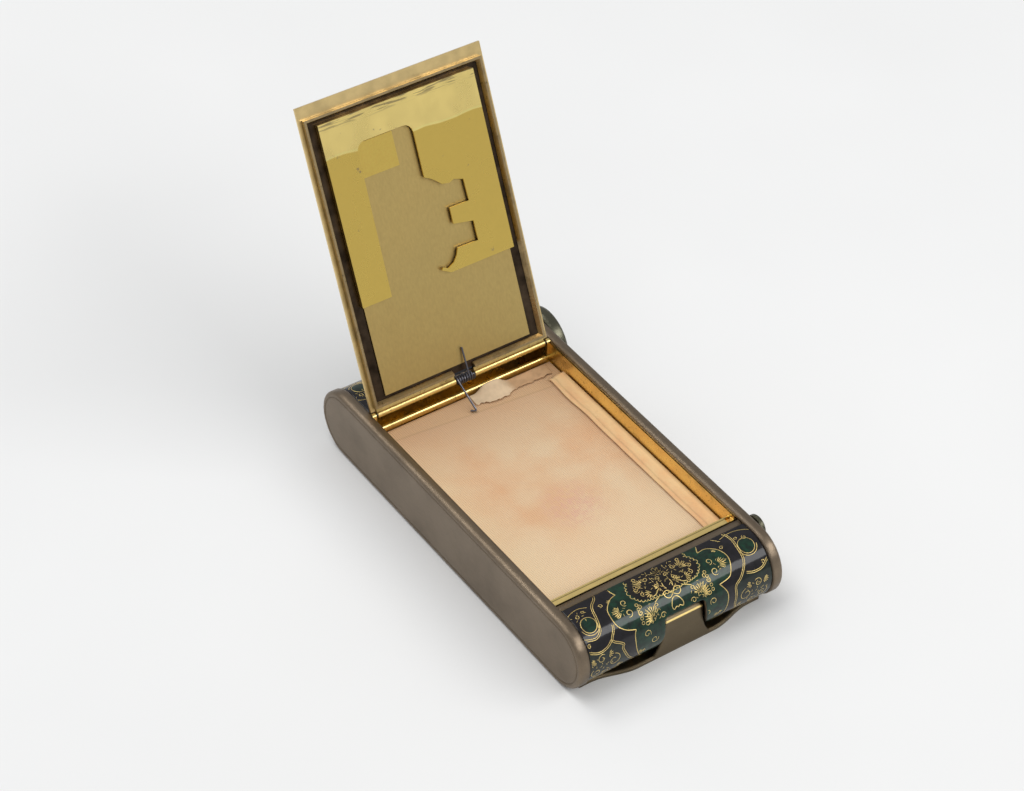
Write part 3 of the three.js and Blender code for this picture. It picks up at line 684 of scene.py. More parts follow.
class MetalSettings(bpy.types.PropertyGroup):
    bronze: colour("Bronze", "#7E705F", "Worn bronze of the caps")
    gilding: colour("Gilding", "#E6CB84", "Gilding of the well and the tubes")
    dull_brass: colour("Dull brass", "#C1A86B", "Dull brass of the lid's panel")
    bright_brass: colour("Bright brass", "#E8C868", "Bright brass of the cut sheet")
    # The strip's paler tone is a painted reflection on the bent top of the cut sheet
    strip: colour("Strip", "#FFE590", "Paler strip at the top of the cut sheet")
    margin: colour("Margin", "#E2C78C", "Rubbed brass of the lid's margin")
    stain: colour("Stain", "#8C7C72", "Grey-violet stains on the cut sheet")
    plate: colour("Base plate", "#72654F", "Satin brass of the base plate and its tongue")
    steel: colour("Steel", "#76757C", "Grey spring steel")
    knob: colour("Knob", "#5F5D4E", "Blackened bronze of the knob")
    frame: colour("Lid frame", "#AE9870", "Tarnished brass of the lid's frame")
    # Besides dirt specks, this colour paints shade in the lid's channel and in the lip's seam
    dirt_and_shade: colour("Dirt", "#382E24", "Old powder and wax in the corners")


class ClothSettings(bpy.types.PropertyGroup):
    gauze: colour("Gauze", "#DABE9B", "Powdered silk gauze")
    stain: colour("Stain", "#D6AB84", "Warmer gauze where rouge has soaked in")
    rouge: colour("Rouge", "#D3A58F", "Pink scuffed powder in the middle")
    wax: colour("Wax", "#E6C27C", "Yellow stain at the silk's front edge")
    powder: colour("Powder", "#D8C29E", "Greyer powder along the left and at the rear")
    tape: colour("Tape", "#EDC391", "Silk tape on the gauze's right side")
    paper: colour("Paper", "#DEC4A2", "Torn tissue paper")
    # Darker, browner tone of the paper's right end
    browner_end: colour("Soaked paper", "#CDA67E", "Tissue paper browned by paste")
    thread: bpy.props.FloatProperty(
        name="Thread", description="Spacing of the gauze's threads", default=0.0004,
        min=0.0001, max=0.001, unit="LENGTH", precision=5,
    )


class StageSettings(bpy.types.PropertyGroup):
    floor: colour("Floor", "#ECECEB", "Pale floor")
    light: bpy.props.FloatProperty(
        name="Light", description="Strength of the studio light", default=1.0, min=0.0
    )


class VANITY_OT_stage(bpy.types.Operator):
    """Make the floor, the studio light and the camera"""

    bl_idname = "vanity.stage"
    bl_label = "Stage"

    def execute(self, context):
        settings = context.scene.vanity_stage
        scene = context.scene
        size = FLOOR_HALF
        corners = [(-size, -size, 0), (size, -size, 0), (size, size, 0), (-size, size, 0)]
        mesh = bpy.data.meshes.new("floor")
        mesh.from_pydata(corners, [], [(0, 1, 2, 3)])
        floor = bpy.data.objects.new("floor", mesh)
        scene.collection.objects.link(floor)
        # Matte paper: even and pale, without gloss
        material, tree, mm = start_material("matte white paper")
        clouds = add(tree, NOISE, {"Vector": mm, "Scale": 1 / 60.0})
        stops = [(0.3, shade(settings.floor, 0.98)), (0.7, shade(settings.floor))]
        tone = add(tree, RAMP, {"Fac": clouds}, stops=stops)
        end_material(tree, {"Base Color": tone, "Roughness": 0.9, "Specular IOR Level": 0.1})
        mesh.materials.append(material)

        world = bpy.data.worlds.new("studio")
        world.use_nodes = True
        world.node_tree.nodes.clear()
        sky = {"Color": (0.97, 0.98, 1.0, 1.0), "Strength": 0.5 * settings.light}
        sky = add(world.node_tree, "ShaderNodeBackground", sky)
        add(world.node_tree, "ShaderNodeOutputWorld", {"Surface": sky})
        scene.world = world
        for name, place, (width, height), power in LAMPS:
            lamp = bpy.data.lights.new(name, "AREA")
            lamp.shape, lamp.size, lamp.size_y = "RECTANGLE", width, height
            lamp.energy = power * settings.light
            holder = bpy.data.objects.new(name, lamp)
            holder.location = place
            aim = Vector((0.0, 0.0, 0.02)) - Vector(place)
            holder.rotation_euler = aim.to_track_quat("-Z", "Y").to_euler()
            scene.collection.objects.link(holder)

        lens = bpy.data.cameras.new("camera")
        lens.sensor_width = SENSOR_WIDTH
        lens.lens = FOCAL_PIXELS / IMAGE_WIDTH * SENSOR_WIDTH
        lens.clip_start, lens.clip_end = 0.01, 20.0
        camera = bpy.data.objects.new("camera", lens)
        turn = Vector(CAMERA_TURN)
        view = Matrix.Rotation(turn.length, 3, turn.normalized())
        away = Vector(CAMERA_AWAY) * FIT_SCALE
        spot = -(view.transposed() @ away) / 1000.0
        # The fit looks along +Z with Y down, and Blender's camera along -Z with Y up
        pose = view.transposed() @ Matrix.Diagonal((1, -1, -1))
        camera.matrix_world = Matrix.Translation(spot) @ pose.to_4x4()
        scene.collection.objects.link(camera)
        scene.camera = camera
        scene.view_settings.view_transform = "Standard"
        return {"FINISHED"}


class VANITY_OT_metals(bpy.types.Operator):
    """Finish the bronze, gilt, brass and steel parts"""

    bl_idname = "vanity.metals"
    bl_label = "Metals"

    def execute(self, context):
        settings = context.scene.vanity_metals
        bronze, knob, gilding = settings.bronze, settings.knob, settings.gilding
        dull, bright, plate = settings.dull_brass, settings.bright_brass, settings.plate
        # Drawn bronze, handled for years: a soft grey-brown shine with faint brown tarnish
        tones = [(0.3, shade(bronze, 0.86)), (0.5, shade(bronze)), (0.75, shade(bronze, 1.08))]
        gloss, along = (0.32, 0.4), (1, 0.12, 1)
        drawn = worn_metal(
            "worn drawn bronze", tones, 9.0, gloss, 0.25, 0.002, drawn=along, soft=1.2
        )
        for name in ("left_cap", "right_cap", "front_end_shell", "rear_end_shell"):
            finish_node(name, drawn)

        # Blackened bronze: darker than the caps, with a faint green cast
        tones = [(0.3, shade(knob, 0.8)), (0.7, shade(knob, 1.15))]
        dark = worn_metal("blackened bronze", tones, 4.0, (0.24, 0.34), 0.3, 0.002, soft=1.0)
        for name in ("barrel_knob", "push_button"):
            finish_node(name, dark)

        # Gilt brass, worn and waxy: warm yellow with brown wear in cloudy patches
        tones = [(0.28, shade(gilding, 0.6)), (0.42, shade(gilding)), (0.8, shade(gilding, 1.12))]
        dirt_and_shade, gloss = settings.dirt_and_shade, (0.22, 0.36)
        gilt = worn_metal("worn gilt brass", tones, 4.0, gloss, 0.5, 0.012, dirt_and_shade=dirt_and_shade)
        for name in ("latch_bar", "hinge_leaf_left", "hinge_leaf_right"):
            finish_node(name, gilt)
        # The well's lip has two bright lines of painted highlight with a thin line of painted shade
        # between them, and its front is painted dark as shade in the seam by the ledge. Each line
        # lies between two places along Y
        lip_highlights_and_shade = [
            (1, -30.3, -30.1, shade(gilding, 1.15)), (1, -30.75, -30.68, shade(gilding, 0.4)),
            (1, -31.6, -30.95, shade(gilding, 1.15)), (1, -36.0, -31.95, shade(dirt_and_shade, 0.5)),
        ]
        well = worn_metal(
            "worn gilt brass tray", tones, 4.0, gloss, 0.5, 0.012, dirt_and_shade=dirt_and_shade, painted_light_stripes=lip_highlights_and_shade
        )
        finish_node("powder_well", well)

        # Tarnished brass: mauve-brown stains over a dull yellow, bright where fingers rub it
        brown = settings.frame
        tones = [(0.34, shade(brown, 0.7)), (0.5, shade(brown)), (0.72, shade(brown, 1.2))]
        strip = worn_metal("tarnished brass strip", tones, 3.0, (0.24, 0.4), 0.6, 0.012, dirt_and_shade=dirt_and_shade)
        finish_node("lid_frame", strip)

        # Rolled brass left dull by old cement: a soft satin with fine grain along the lid
        tones = [(0.3, shade(dull, 0.9)), (0.65, shade(dull))]
        gloss, along = (0.36, 0.46), (1, 0.4, 0.4)
        satin = worn_metal("dull rolled brass", tones, 9.0, gloss, 0.4, 0.004, drawn=along)
        finish_node("lid_panel", satin)
        finish_node("lid_cut_sheet", self.sheet_brass(settings))
        finish_node("lid_plate", self.plate_brass(settings))
        # An offcut of the same sheet, rubbed a little duller
        tones = [(0.3, shade(bright, 0.82)), (0.65, shade(bright, 0.98))]
        offcut = worn_metal("bright brass offcut", tones, 5.0, (0.28, 0.36), 0.4, 0.004)
        finish_node("lid_patch", offcut)

        # Satin brass, darkened by handling, with a painted highlight along the tongue's rounded
        # upper edge
        tones = [(0.3, shade(plate, 0.85)), (0.7, shade(plate))]
        fold_highlight = [(2, 8.65, 8.87, shade(gilding))]
        gloss = (0.3, 0.4)
        cover = worn_metal(
            "satin brass plate", tones, 5.0, gloss, 0.3, 0.003, painted_light_stripes=fold_highlight, soft=0.8
        )
        finish_node("base_cover", cover)

        # Tempered spring steel: blue-grey with a dull shine
        tones = [(0.35, shade(settings.steel, 0.7)), (0.65, shade(settings.steel))]
        spring = worn_metal("blued spring steel", tones, 1.5, (0.3, 0.42), 0.3, 0.004)
        for name in ("hinge_rod", "hinge_spring", "spring_upper_leg"):
            finish_node(name, spring)
        return {"FINISHED"}

    def plate_brass(self, settings):
        # Rolled brass: rubbed bright at its bare margin, and inside the frame painted shade, near
        # black, for the shaded channel round the panel
        material, tree, mm = start_material("rubbed rolled brass")
        clouds = add(tree, NOISE, {"Vector": mm, "Scale": 1 / 3.0, "Detail": 6.0})
        bright, dirt_and_shade = settings.margin, settings.dirt_and_shade
        stops = [(0.3, shade(bright, 0.85)), (0.6, shade(bright, 1.05))]
        tone = add(tree, RAMP, {"Fac": clouds}, stops=stops)
        # Inside the frame: up to 20.3 from the middle, and to 70.6 up as the lid stands open
        split = add(tree, SPLIT, {0: mm}).node.outputs
        across = add(tree, MATH, {0: split[0]}, operation="ABSOLUTE")
        inside = add(tree, RANGE, {"Value": across, "From Min": 20.5, "From Max": 20.3})
        below = add(tree, RANGE, {"Value": split[2], "From Min": 70.9, "From Max": 70.6})
        inside = add(tree, MATH, {0: inside, 1: below}, operation="MULTIPLY")
        # Painted shade: a near-black tone inside the frame, where the channel round the panel lies
        stops = [(0.3, shade(dirt_and_shade, 0.6)), (0.7, shade(dirt_and_shade, 2.2))]
        channel_shade = add(tree, RAMP, {"Fac": clouds}, stops=stops)
        tone = add(tree, MIX, {0: inside, 6: tone, 7: channel_shade}, 2, **BLEND)
        dents = add(tree, BUMP, {"Height": clouds, "Distance": 0.00003})
        end_material(tree, {"Base Color": tone, "Roughness": 0.34, "Normal": dents, "Metallic": 1.0})
        return material

    def sheet_brass(self, settings):
        # Hard rolled brass sheet: bright, with small stains; a painted reflection makes the bent
        # strip above its crease paler, and a painted highlight runs along the crease
        material, tree, mm = start_material("bright rolled brass sheet")
        bright, stain = settings.bright_brass, settings.stain
        clouds = add(tree, NOISE, {"Vector": mm, "Scale": 1 / 6.0, "Detail": 4.0})
        stops = [(0.3, shade(bright, 0.86)), (0.7, shade(bright, 1.05))]
        tone = add(tree, RAMP, {"Fac": clouds}, stops=stops)
        # The crease wanders across the lid, 64 up as the lid stands open and lower at its right end
        slope = {0: mm, 1: (0.031, 0.0, 1.0)}
        level = add(tree, VECTOR, slope, "Value", operation="DOT_PRODUCT")
        wander = add(tree, NOISE, {"Vector": mm, "Scale": 0.08})
        level = add(tree, MATH, {0: wander, 1: 2.4, 2: level}, operation="MULTIPLY_ADD")
        # Painted reflection on the bent strip above the crease, and a painted highlight along it
        bent_strip_reflection = add(tree, RANGE, {"Value": level, "From Min": 64.1, "From Max": 64.3})
        tone = add(tree, MIX, {0: bent_strip_reflection, 6: tone, 7: shade(settings.strip)}, 2, **BLEND)
        crease = band(tree, level, 64.0, 64.2, 0.2)
        tone = add(tree, MIX, {0: crease, 6: tone, 7: shade(settings.strip, 1.08)}, 2, **BLEND)
        # Ragged brown lines of old cement along the fold at the top, from 68.1 up
        height = add(tree, SPLIT, {0: mm}, 2)
        ragged = add(tree, "ShaderNodeMapping", {"Vector": mm, "Scale": (0.22, 0.0, 2.6)})
        ragged = add(tree, NOISE, {"Vector": ragged, "Scale": 1.0, "Detail": 5.0})
        share = add(tree, RAMP, {"Fac": ragged}, stops=[(0.5, grey(0.0)), (0.58, grey(0.6))])
        top = add(tree, RANGE, {"Value": height, "From Min": 68.1, "From Max": 68.9})
        share = add(tree, MATH, {0: share, 1: top}, operation="MULTIPLY")
        tone = add(tree, MIX, {0: share, 6: tone, 7: shade(stain, 0.55)}, 2, **BLEND)
        # A grey-violet stain near the right edge
        spot = {0: mm, 1: (15.8, 9.1, 60.4)}
        spot = add(tree, VECTOR, spot, "Value", operation="DISTANCE")
        near = add(tree, RANGE, {"Value": spot, "From Min": 2.4, "From Max": 1.0})
        smear = add(tree, NOISE, {"Vector": mm, "Scale": 1.2, "Detail": 4.0})
        smear = add(tree, RAMP, {"Fac": smear}, stops=[(0.48, grey(0.0)), (0.54, grey(0.85))])
        smear = add(tree, MATH, {0: smear, 1: near}, operation="MULTIPLY")
        tone = add(tree, MIX, {0: smear, 6: tone, 7: shade(stain)}, 2, **BLEND)
        # Small flecks all over
        flecks = add(tree, NOISE, {"Vector": mm, "Scale": 1 / 2.2, "Detail": 7.0, "Roughness": 0.6})
        share = add(tree, RAMP, {"Fac": flecks}, stops=[(0.66, grey(0.0)), (0.72, grey(0.6))])
        tone = add(tree, MIX, {0: share, 6: tone, 7: shade(stain)}, 2, **BLEND)
        rough = add(tree, RAMP, {"Fac": clouds}, stops=[(0.3, grey(0.34)), (0.7, grey(0.24))])
        dents = add(tree, BUMP, {"Height": clouds, "Distance": 0.00003})
        end_material(tree, {"Base Color": tone, "Roughness": rough, "Normal": dents, "Metallic": 1.0})
        return material


class VANITY_OT_enamel(bpy.types.Operator):
    """Lay the enamel and its gold wire on both ends and the lid"""

    bl_idname = "vanity.enamel"
    bl_label = "Enamel"

    def execute(self, context):
        settings = context.scene.vanity_enamel
        gold = settings.wire * 1000.0
        enamel = self.enamel(settings)
        # Fused gold wire, polished level with the enamel: thin warm bright lines
        tones = [(0.35, shade(settings.gold, 0.75)), (0.6, shade(settings.gold))]
        wire = worn_metal("fused gold wire", tones, 1.5, (0.3, 0.42), 0.3, 0.002)
        self.front(enamel, wire, gold)
        self.rear(enamel, wire, gold)
        self.lid(enamel, wire, gold)
        return {"FINISHED"}

    def front(self, enamel, wire, gold):
        """The front end, parted round the thumb notch."""
        limit = SHELL_HALF - END_GAP
        rows = np.arange(ROW_START, FRONT_FLAT + SHELL_RADIUS * SHELL_ARC - ROW_START, END_GRID)
        side = np.linspace(0, 1, int(BESIDE_NOTCH / END_GRID))
        middle = np.linspace(-1, 1, int(ACROSS_NOTCH / END_GRID))[1:-1]
        columns = np.array([
            np.concatenate([
                -limit + (limit - h + NOTCH_CENTRE) * side,
                NOTCH_CENTRE + middle * h,
                NOTCH_CENTRE + h + (limit - h - NOTCH_CENTRE) * side,
            ])
            for h in (notch_half(v) for v in rows)
        ])
        heights = np.repeat(rows[:, None], columns.shape[1], 1)
        keep = np.ones((len(rows) - 1, columns.shape[1] - 1), bool)
        z = END_RADIUS + SHELL_RADIUS * np.cos((rows - FRONT_FLAT) / SHELL_RADIUS)
        notch_rows = (rows[:-1] > FRONT_FLAT) & (z[:-1] <= NOTCH_TOP)
        keep[notch_rows, len(side) - 1 : len(side) + len(middle)] = False
        enamel_layer(
            "front_enamel", front_place, columns, heights, keep, enamel_zones(),
            "case", enamel,
        )

        def inside(u, v):
            if abs(u) > limit - LINE_GAP or not ROW_GAP < v < rows[-1] - ROW_GAP:
                return False
            height = END_RADIUS + SHELL_RADIUS * math.cos((v - FRONT_FLAT) / SHELL_RADIUS)
            over = v < FRONT_FLAT or height > NOTCH_TOP + 0.2
            return over or abs(u - NOTCH_CENTRE) > notch_half(v) + LINE_GAP

        lines = Lines(front_place, inside)
        draw_end(lines, gold)
        lines.piece("front_gold_lines", "case", wire)

    def rear(self, enamel, wire, gold):
        """The rear end, with the same drawing starting below the lid's edge."""
        limit = SHELL_HALF - END_GAP
        rows = np.arange(ROW_START, REAR_FLAT + SHELL_RADIUS * SHELL_ARC - ROW_START, END_GRID)
        across = np.arange(-limit, limit + 1e-6, END_GRID)
        u, v = np.meshgrid(across, rows)
        keep = np.ones((len(rows) - 1, len(across) - 1), bool)
        zones = {
            key: [np.asarray(outline) + (0, REAR_SHIFT) for outline in outlines]
            for key, outlines in enamel_zones().items()
        }
        enamel_layer("rear_enamel", rear_place, u, v, keep, zones, "case", enamel)

        def inside(u, v):
            return abs(u) < limit - LINE_GAP and ROW_GAP < v + REAR_SHIFT < rows[-1] - ROW_GAP

        lines = Lines(lambda u, v, h: rear_place(u, v + REAR_SHIFT, h), inside)
        draw_end(lines, gold)
        lines.piece("rear_gold_lines", "case", wire)

    def lid(self, enamel, wire, gold):
        """The lid's outside: an oval round a medallion, with corner fields and scattered motifs."""
        across = np.arange(-LID_HALF + LID_GAP, LID_HALF - LID_GAP + 1e-6, LID_GRID)
        rows = np.arange(LID_START + LID_GAP, LID_END - LID_GAP, LID_GRID)
        u, v = np.meshgrid(across, rows)
        # No field of the grid reaches over the room for the coil
        left, right, depth = COIL_ROOM
        coil = (across[:-1] > left - 0.4) & (across[:-1] < right + 0.2)
        keep = ~((rows[:-1] < depth + 0.2)[:, None] & coil[None, :])
        centre = (LID_START + LID_END) / 2
        oval = circle((0.0, 0.0), OVAL_HALF, 120) * (1.0, OVAL_LONG) + (0.0, centre)
        medallion = circle((0.0, centre), MEDALLION_RADIUS, 80)
        quarters = [(su, sv) for su in (-1, 1) for sv in (-1, 1)]
        corners = [
            np.array([(su * a, centre + sv * b) for a, b in LID_CORNER]) for su, sv in quarters
        ]
        zones = {"green": [oval], "brown": [medallion], "grey": corners}
        enamel_layer("lid_enamel", lid_place, u, v, keep, zones, "lid", enamel)

        def inside(u, v):
            if abs(u) > LID_HALF - LID_LINE_GAP:
                return False
            if not LID_START + LID_LINE_GAP < v < LID_END - LID_LINE_GAP:
                return False
            return v > depth + 0.5 or not left - 0.5 < u < right + 0.5

        lines = Lines(lid_place, inside)
        lines.row(np.concatenate([oval, oval[:1]]), OUTLINE * gold)
        lines.scallops([tuple(p) for p in [*oval[::-6], oval[-1]]], LID_ARCH, gold)
        for radius in MEDALLION_RINGS:
            lines.ring((0.0, centre), radius, gold)
        lines.rosette((0.0, centre), ROSETTE_RADIUS, 10, gold)
        for k in range(FAN_COUNT):
            angle = 2 * math.pi * k / FAN_COUNT
            spot = on_circle((0.0, centre), FAN_CIRCLE, angle)
            lines.scroll(spot, 0.9, angle, 1 if k % 2 else -1, gold)
            lines.palmette(spot, angle, 1.8, 5, 0.8, 1.3 * gold)
        for corner in corners:
            lines.double([tuple(p) for p in corner], gold, LID_DOUBLE)
        for sv, su in quarters:
            for k, (u0, v0, heading, size) in enumerate(LID_MOTIFS):
                angle = math.atan2(sv * math.sin(heading), su * math.cos(heading))
                spot = (su * u0, centre + sv * v0)
                lines.scroll(spot, 0.5 * size, angle, su * sv * (-1) ** k, gold)
                lines.palmette(spot, angle, 1.3 * size, 7, 0.9, 1.4 * gold)
        lines.piece("lid_gold_lines", "lid", wire)

    def enamel(self, settings):
        # Vitreous enamel: ground glass fused on metal, so deep soft colours under a hard clear gloss
        material, tree, mm = start_material("vitreous enamel")
        clouds = add(tree, NOISE, {"Vector": mm, "Scale": 1 / 1.1, "Detail": 6.0})
        stops = [(0.35, shade(settings.ground, 0.4)), (0.65, shade(settings.ground, 1.3))]
        tone = add(tree, RAMP, {"Fac": clouds}, stops=stops)
        # Each colour lies inside its outlines, with a border 0.1 mm wide
        for key in ("grey", "green", "brown"):
            value = getattr(settings, key)
            distance = add(tree, ATTRIBUTE, out="Fac", attribute_name=key)
            within = add(tree, RANGE, {"Value": distance, "From Min": -0.05, "From Max": 0.05})
            stops = [(0.35, shade(value, 0.35)), (0.65, shade(value, 1.15))]
            grain = add(tree, RAMP, {"Fac": clouds}, stops=stops)
            tone = add(tree, MIX, {0: within, 6: tone, 7: grain}, 2, **BLEND)
        rough = add(tree, RAMP, {"Fac": clouds}, stops=[(0.3, grey(0.5)), (0.7, grey(0.35))])
        waves = add(tree, NOISE, {"Vector": mm, "Scale": 1 / 2.2, "Detail": 3.0})
        waves = add(tree, BUMP, {"Height": waves, "Distance": 0.00002})
        end_material(tree, {
            "Base Color": tone, "Roughness": rough, "Normal": waves, "Coat Normal": waves,
            "Coat Weight": 0.66, "Coat Roughness": 0.1, "Specular IOR Level": 0.08,
        })
        return material


class VANITY_OT_cloth(bpy.types.Operator):
    """Stretch the silk gauze and lay the tape and the torn paper on it"""

    bl_idname = "vanity.cloth"
    bl_label = "Gauze, tape and paper"

    def execute(self, context):
        settings = context.scene.vanity_cloth
        low, high = (corner * 1000.0 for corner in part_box("gauze_sifter"))
        tape = self.tape(settings)
        paper = self.paper(settings)
        material = self.gauze_material(settings)
        across = np.linspace(low.x + 0.05, high.x - 0.05, 110)
        along = np.linspace(low.y + 0.05, high.y - 0.05, 150)

        def height(x, y):
            edge = min(x - low.x, high.x - x, y - low.y, high.y - y)
            ripple = noise.noise(Vector((x / 9.0, y / 12.0, 1.7)))
            slack = GAUZE_SLACK * min(1.0, edge / 6.0) * ripple
            sag = GAUZE_SAG * min(1.0, edge / 12.0)
            return GAUZE_TOP - GAUZE_DROP + slack - sag

        points = [(x, y, height(x, y)) for y in along for x in across]
        points += [(x, y, z - GAUZE_THICK) for x, y, z in points]
        faces = sheet_faces(len(across), len(along))
        gauze = mesh_piece("silk_gauze", points, faces, "case", material)
        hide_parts("gauze_sifter")
        return {"FINISHED"}

    def gauze_material(self, settings):
        # Silk gauze with powder in it: fine even threads, matte, with pale powder and rouge stains.
        # Real silk gauze has a thread each 0.2 mm, drawn here a little coarser so that it shows
        material, tree, mm = start_material("powdered silk gauze")
        # A wave texture of scale 1 repeats each pi / 10
        pitch = settings.thread * 1000.0
        wave = {
            "Vector": mm, "Scale": math.pi / (10.0 * pitch),
            "Distortion": 0.3, "Detail": 1.0, "Detail Scale": 0.5,
        }
        threads = [add(tree, WAVE, wave, bands_direction=direction) for direction in ("X", "Y")]
        weave = add(tree, MATH, {0: threads[0], 1: threads[1]}, operation="ADD")
        split = add(tree, SPLIT, {0: mm}).node.outputs
        patches = {"Vector": mm, "Scale": 1 / 14.0, "Detail": 5.0, "Roughness": 0.5}
        clouds = add(tree, NOISE, patches)
        stops = [(0.36, shade(settings.stain)), (0.62, shade(settings.gauze))]
        tone = add(tree, RAMP, {"Fac": clouds}, stops=stops)
        front = add(tree, RANGE, {"Value": split[1], "From Min": -8.0, "From Max": -22.0})
        tone = add(tree, MIX, {0: front, 6: tone, 7: shade(settings.gauze, 1.05)}, 2, **BLEND)
        # A round patch of scuffed powder in the front half
        spot = add(tree, VECTOR, {0: mm, 1: (0.5, -8.0, 9.7)}, "Value", operation="DISTANCE")
        patch = add(tree, RANGE, {"Value": spot, "From Min": 8.0, "From Max": 3.0})
        scuff = {"Vector": mm, "Scale": 1.1, "Detail": 8.0, "Roughness": 0.75}
        scuff = add(tree, NOISE, scuff)
        rub = add(tree, RAMP, {"Fac": scuff}, stops=[(0.42, grey(0.0)), (0.62, grey(0.8))])
        rub = add(tree, MATH, {0: rub, 1: patch}, operation="MULTIPLY")
        tone = add(tree, MIX, {0: rub, 6: tone, 7: shade(settings.rouge)}, 2, **BLEND)
        # Paper under the silk darkens its rear border, up to a soft edge that lies a little askew
        slope = {0: mm, 1: (0.095, 1.0, 0.0)}
        level = add(tree, VECTOR, slope, "Value", operation="DOT_PRODUCT")
        # Stains one over the other: where each starts and is full along its value, cover, tone
        for place, start, full, most, over in (
            (split[0], -9.0, -19.0, 0.6, shade(settings.powder)),  # grey powder on the left
            (split[1], 8.0, 26.0, 0.85, shade(settings.stain, 0.84)),  # darker towards the hinge
            (split[1], -28.2, -30.0, 0.7, shade(settings.wax)),  # wax along the front edge
            (level, 24.0, 24.5, 0.35, shade(settings.tape, 0.72)),  # the paper under the silk
        ):
            share = {"Value": place, "From Min": start, "From Max": full, "To Max": most}
            share = add(tree, RANGE, share)
            tone = add(tree, MIX, {0: share, 6: tone, 7: over}, 2, **BLEND)
        edge = band(tree, level, 24.2, 24.3, 0.3)
        edge = add(tree, MATH, {0: edge, 1: 0.4}, operation="MULTIPLY")
        tone = add(tree, MIX, {0: edge, 6: tone, 7: shade(settings.tape, 0.5)}, 2, **BLEND)
        lines = add(tree, RAMP, {"Fac": weave}, stops=[(0.4, grey(0.3)), (0.9, grey(0.58))])
        tone = add(tree, MIX, {0: 0.6, 6: tone, 7: lines}, 2, **OVERLAY)
        folds = add(tree, BUMP, {"Height": scuff, "Distance": 0.00006, "Strength": 0.5})
        weave = {"Height": weave, "Distance": 0.00004, "Strength": 0.7, "Normal": folds}
        end_material(tree, {
            "Base Color": tone, "Normal": add(tree, BUMP, weave), "Roughness": 0.85,
            "Sheen Weight": 0.15, "Specular IOR Level": 0.25,
        })
        return material

    def tape(self, settings):
        """A puckered silk tape between the gauze and the right wall."""
        low, high = (corner * 1000.0 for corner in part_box("side_tape"))
        # Silk ribbon stiffened with paste: matte and peach coloured, with small puckers across it
        material, tree, mm = start_material("pasted silk tape")
        side = add(tree, ATTRIBUTE, out="Fac", attribute_name="share")
        # From its inner edge to the wall: painted shade at the edge, a flat part, painted shade in
        # the crease, a paler slope, and painted shade where it meets the wall
        tape_shade_levels = [
            (0.0, 0.75), (0.07, 1.0), (0.24, 0.96), (0.3, 0.8), (0.38, 1.0), (0.8, 1.12), (1.0, 0.7),
        ]
        stops = [(place, shade(settings.tape, level)) for place, level in tape_shade_levels]
        tone = add(tree, RAMP, {"Fac": side}, stops=stops)
        along = add(tree, "ShaderNodeMapping", {"Vector": mm, "Scale": (1.0, 0.45, 1.0)})
        clouds = add(tree, NOISE, {"Vector": along, "Scale": 1 / 2.4, "Detail": 6.0})
        lines = add(tree, RAMP, {"Fac": clouds}, stops=[(0.35, grey(0.4)), (0.65, grey(0.6))])
        tone = add(tree, MIX, {0: 0.6, 6: tone, 7: lines}, 2, **OVERLAY)
        ribs = add(tree, WAVE, {"Vector": mm, "Scale": 0.6, "Distortion": 2.0}, bands_direction="Y")
        folds = add(tree, BUMP, {"Height": clouds, "Distance": 0.00012, "Strength": 0.6})
        ribs = {"Height": ribs, "Distance": 0.00003, "Strength": 0.4, "Normal": folds}
        end_material(tree, {
            "Base Color": tone, "Normal": add(tree, BUMP, ribs), "Roughness": 0.8,
            "Sheen Weight": 0.1, "Specular IOR Level": 0.3,
        })
        across = np.linspace(0, 1, 15)
        along = np.linspace(low.y + 0.05, high.y, 170)
        points = []
        for y in along:
            wobble = 0.5 + noise.noise(Vector((0.3, y / 3.1, 5.0)))
            # The last row, at the hinge, is cut straight
            wander = TAPE_WANDER if y < high.y else 0.0
            inner = low.x + 0.15 + wander * (1 + noise.noise(Vector((2.0, y / 7.0, 1.0))))
            for share in across:
                x = inner + (high.x - 0.05 - inner) * share
                rise = TAPE_RISE * max(0.0, share - 0.32) ** 1.1
                pucker = TAPE_PUCKER * math.sin(math.pi * min(1.0, share * 1.3)) * wobble
                crease = TAPE_CREASE * math.exp(-(((share - CREASE_PLACE) / CREASE_SHARE) ** 2))
                points.append((x, y, low.z + 0.12 + rise + pucker - crease))
        points += [(x, y, z - TAPE_THICK) for x, y, z in points]
        shares = {"share": np.tile(across, 2 * len(along))}
        faces = sheet_faces(len(across), len(along))
        tape = mesh_piece("silk_tape", points, faces, "case", material, values=shares)
        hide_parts("side_tape")
        return tape

    def paper(self, settings):
        """Torn tissue at the hinge end: a scrap on the gauze, and a flap that leans on the rail."""
        low, high = (corner * 1000.0 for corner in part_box("torn_paper"))
        # Old tissue paper: thin, matte, soft creases, darker and browner at its right end
        material, tree, mm = start_material("torn tissue paper")
        clouds = add(tree, NOISE, {"Vector": mm, "Scale": 1 / 1.8, "Detail": 6.0})
        stops = [(0.35, shade(settings.paper, 0.86)), (0.65, shade(settings.paper))]
        pale = add(tree, RAMP, {"Fac": clouds}, stops=stops)
        stops = [(0.35, shade(settings.browner_end, 0.8)), (0.65, shade(settings.browner_end))]
        brown = add(tree, RAMP, {"Fac": clouds}, stops=stops)
        across = add(tree, SPLIT, {0: mm})
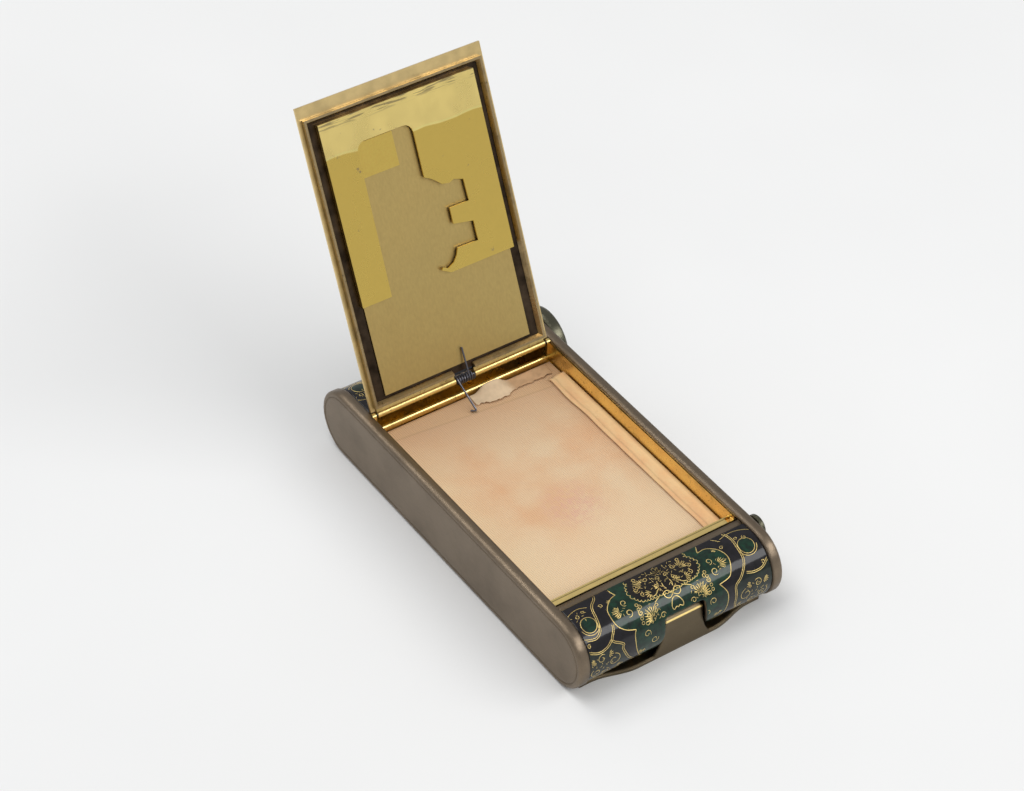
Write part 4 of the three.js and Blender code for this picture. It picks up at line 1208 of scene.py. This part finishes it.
        # Its right end is darker and browner, from 9.2 on
        browner_end = add(tree, RANGE, {"Value": across, "From Min": 9.2, "From Max": 10.8})
        tone = add(tree, MIX, {0: browner_end, 6: pale, 7: brown}, 2, **BLEND)
        folds = add(tree, BUMP, {"Height": clouds, "Distance": 0.00015, "Strength": 0.6})
        end_material(tree, {
            "Base Color": tone, "Normal": folds, "Roughness": 0.9, "Specular IOR Level": 0.2,
        })
        count, depth = 90, 16
        points = []
        for row in range(depth):
            share = row / (depth - 1)
            for column in range(count):
                x = low.x + (high.x - low.x) * column / (count - 1)
                flap = math.exp(-(((x - FLAP_PLACE) / FLAP_HALF) ** 4))
                coarse = noise.noise(Vector((x / 0.9, 3.0, 0.5)))
                fine = noise.noise(Vector((x / 0.35, 7.0, 0.5)))
                ragged = 0.5 * coarse + 0.35 * fine
                front = low.y + 0.3 + 0.9 * (1 - flap) + 0.6 * ragged
                y = front + (high.y - 0.1 - front) * share
                lift = flap * FLAP_LIFT * share**1.4
                ripple = PAPER_RIPPLE * noise.noise(Vector((x / 2.2, y / 1.6, 2.0)))
                points.append((x, y, low.z + 0.16 + lift + max(ripple, -0.1)))
        points += [(x, y, z - PAPER_THICK) for x, y, z in points]
        faces = sheet_faces(count, depth)
        paper = mesh_piece("torn_tissue", points, faces, "case", material)
        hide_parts("torn_paper")
        return paper


def sheet_faces(count, depth):
    """Faces of a thin sheet of two layers of points, count by depth, the upper layer first."""
    total = count * depth
    faces = []
    for j in range(depth - 1):
        for i in range(count - 1):
            a = j * count + i
            faces.append((a, a + 1, a + count + 1, a + count))
            faces.append((a + total, a + count + total, a + count + 1 + total, a + 1 + total))
    # The rim, once round: the first row, the right side, the last row, the left side
    rim = list(range(count))
    rim += [(j + 1) * count - 1 for j in range(1, depth)]
    rim += [total - 1 - i for i in range(1, count)]
    rim += [j * count for j in range(depth - 2, 0, -1)]
    for a, b in zip(rim, rim[1:] + rim[:1]):
        faces.append((b, a, a + total, b + total))
    return faces


class VANITY_PT_panel(bpy.types.Panel):
    """Steps that dress the vanity case"""

    bl_label = "Enamel vanity case"
    bl_idname = "VANITY_PT_panel"
    bl_space_type = "VIEW_3D"
    bl_region_type = "UI"
    bl_category = "Vanity case"

    def draw(self, context):
        for operator, settings in STEPS:
            box = self.layout.box()
            box.operator(operator.bl_idname)
            group = getattr(context.scene, settings)
            for key in group.__annotations__:
                box.prop(group, key)


STEPS = (
    (VANITY_OT_stage, "vanity_stage"),
    (VANITY_OT_metals, "vanity_metals"),
    (VANITY_OT_enamel, "vanity_enamel"),
    (VANITY_OT_cloth, "vanity_cloth"),
)
GROUPS = {
    "vanity_stage": StageSettings,
    "vanity_metals": MetalSettings,
    "vanity_enamel": EnamelSettings,
    "vanity_cloth": ClothSettings,
}


def register():
    for settings in GROUPS.values():
        bpy.utils.register_class(settings)
    for operator, _ in STEPS:
        bpy.utils.register_class(operator)
    bpy.utils.register_class(VANITY_PT_panel)
    for key, settings in GROUPS.items():
        setattr(bpy.types.Scene, key, bpy.props.PointerProperty(type=settings))


def unregister():
    for key in GROUPS:
        delattr(bpy.types.Scene, key)
    bpy.utils.unregister_class(VANITY_PT_panel)
    for operator, _ in reversed(STEPS):
        bpy.utils.unregister_class(operator)
    for settings in GROUPS.values():
        bpy.utils.unregister_class(settings)


def main():
    """Runs each step in order."""
    register()
    bpy.ops.vanity.stage()
    bpy.ops.vanity.metals()
    bpy.ops.vanity.enamel()
    bpy.ops.vanity.cloth()


if __name__ == "__main__":
    main()
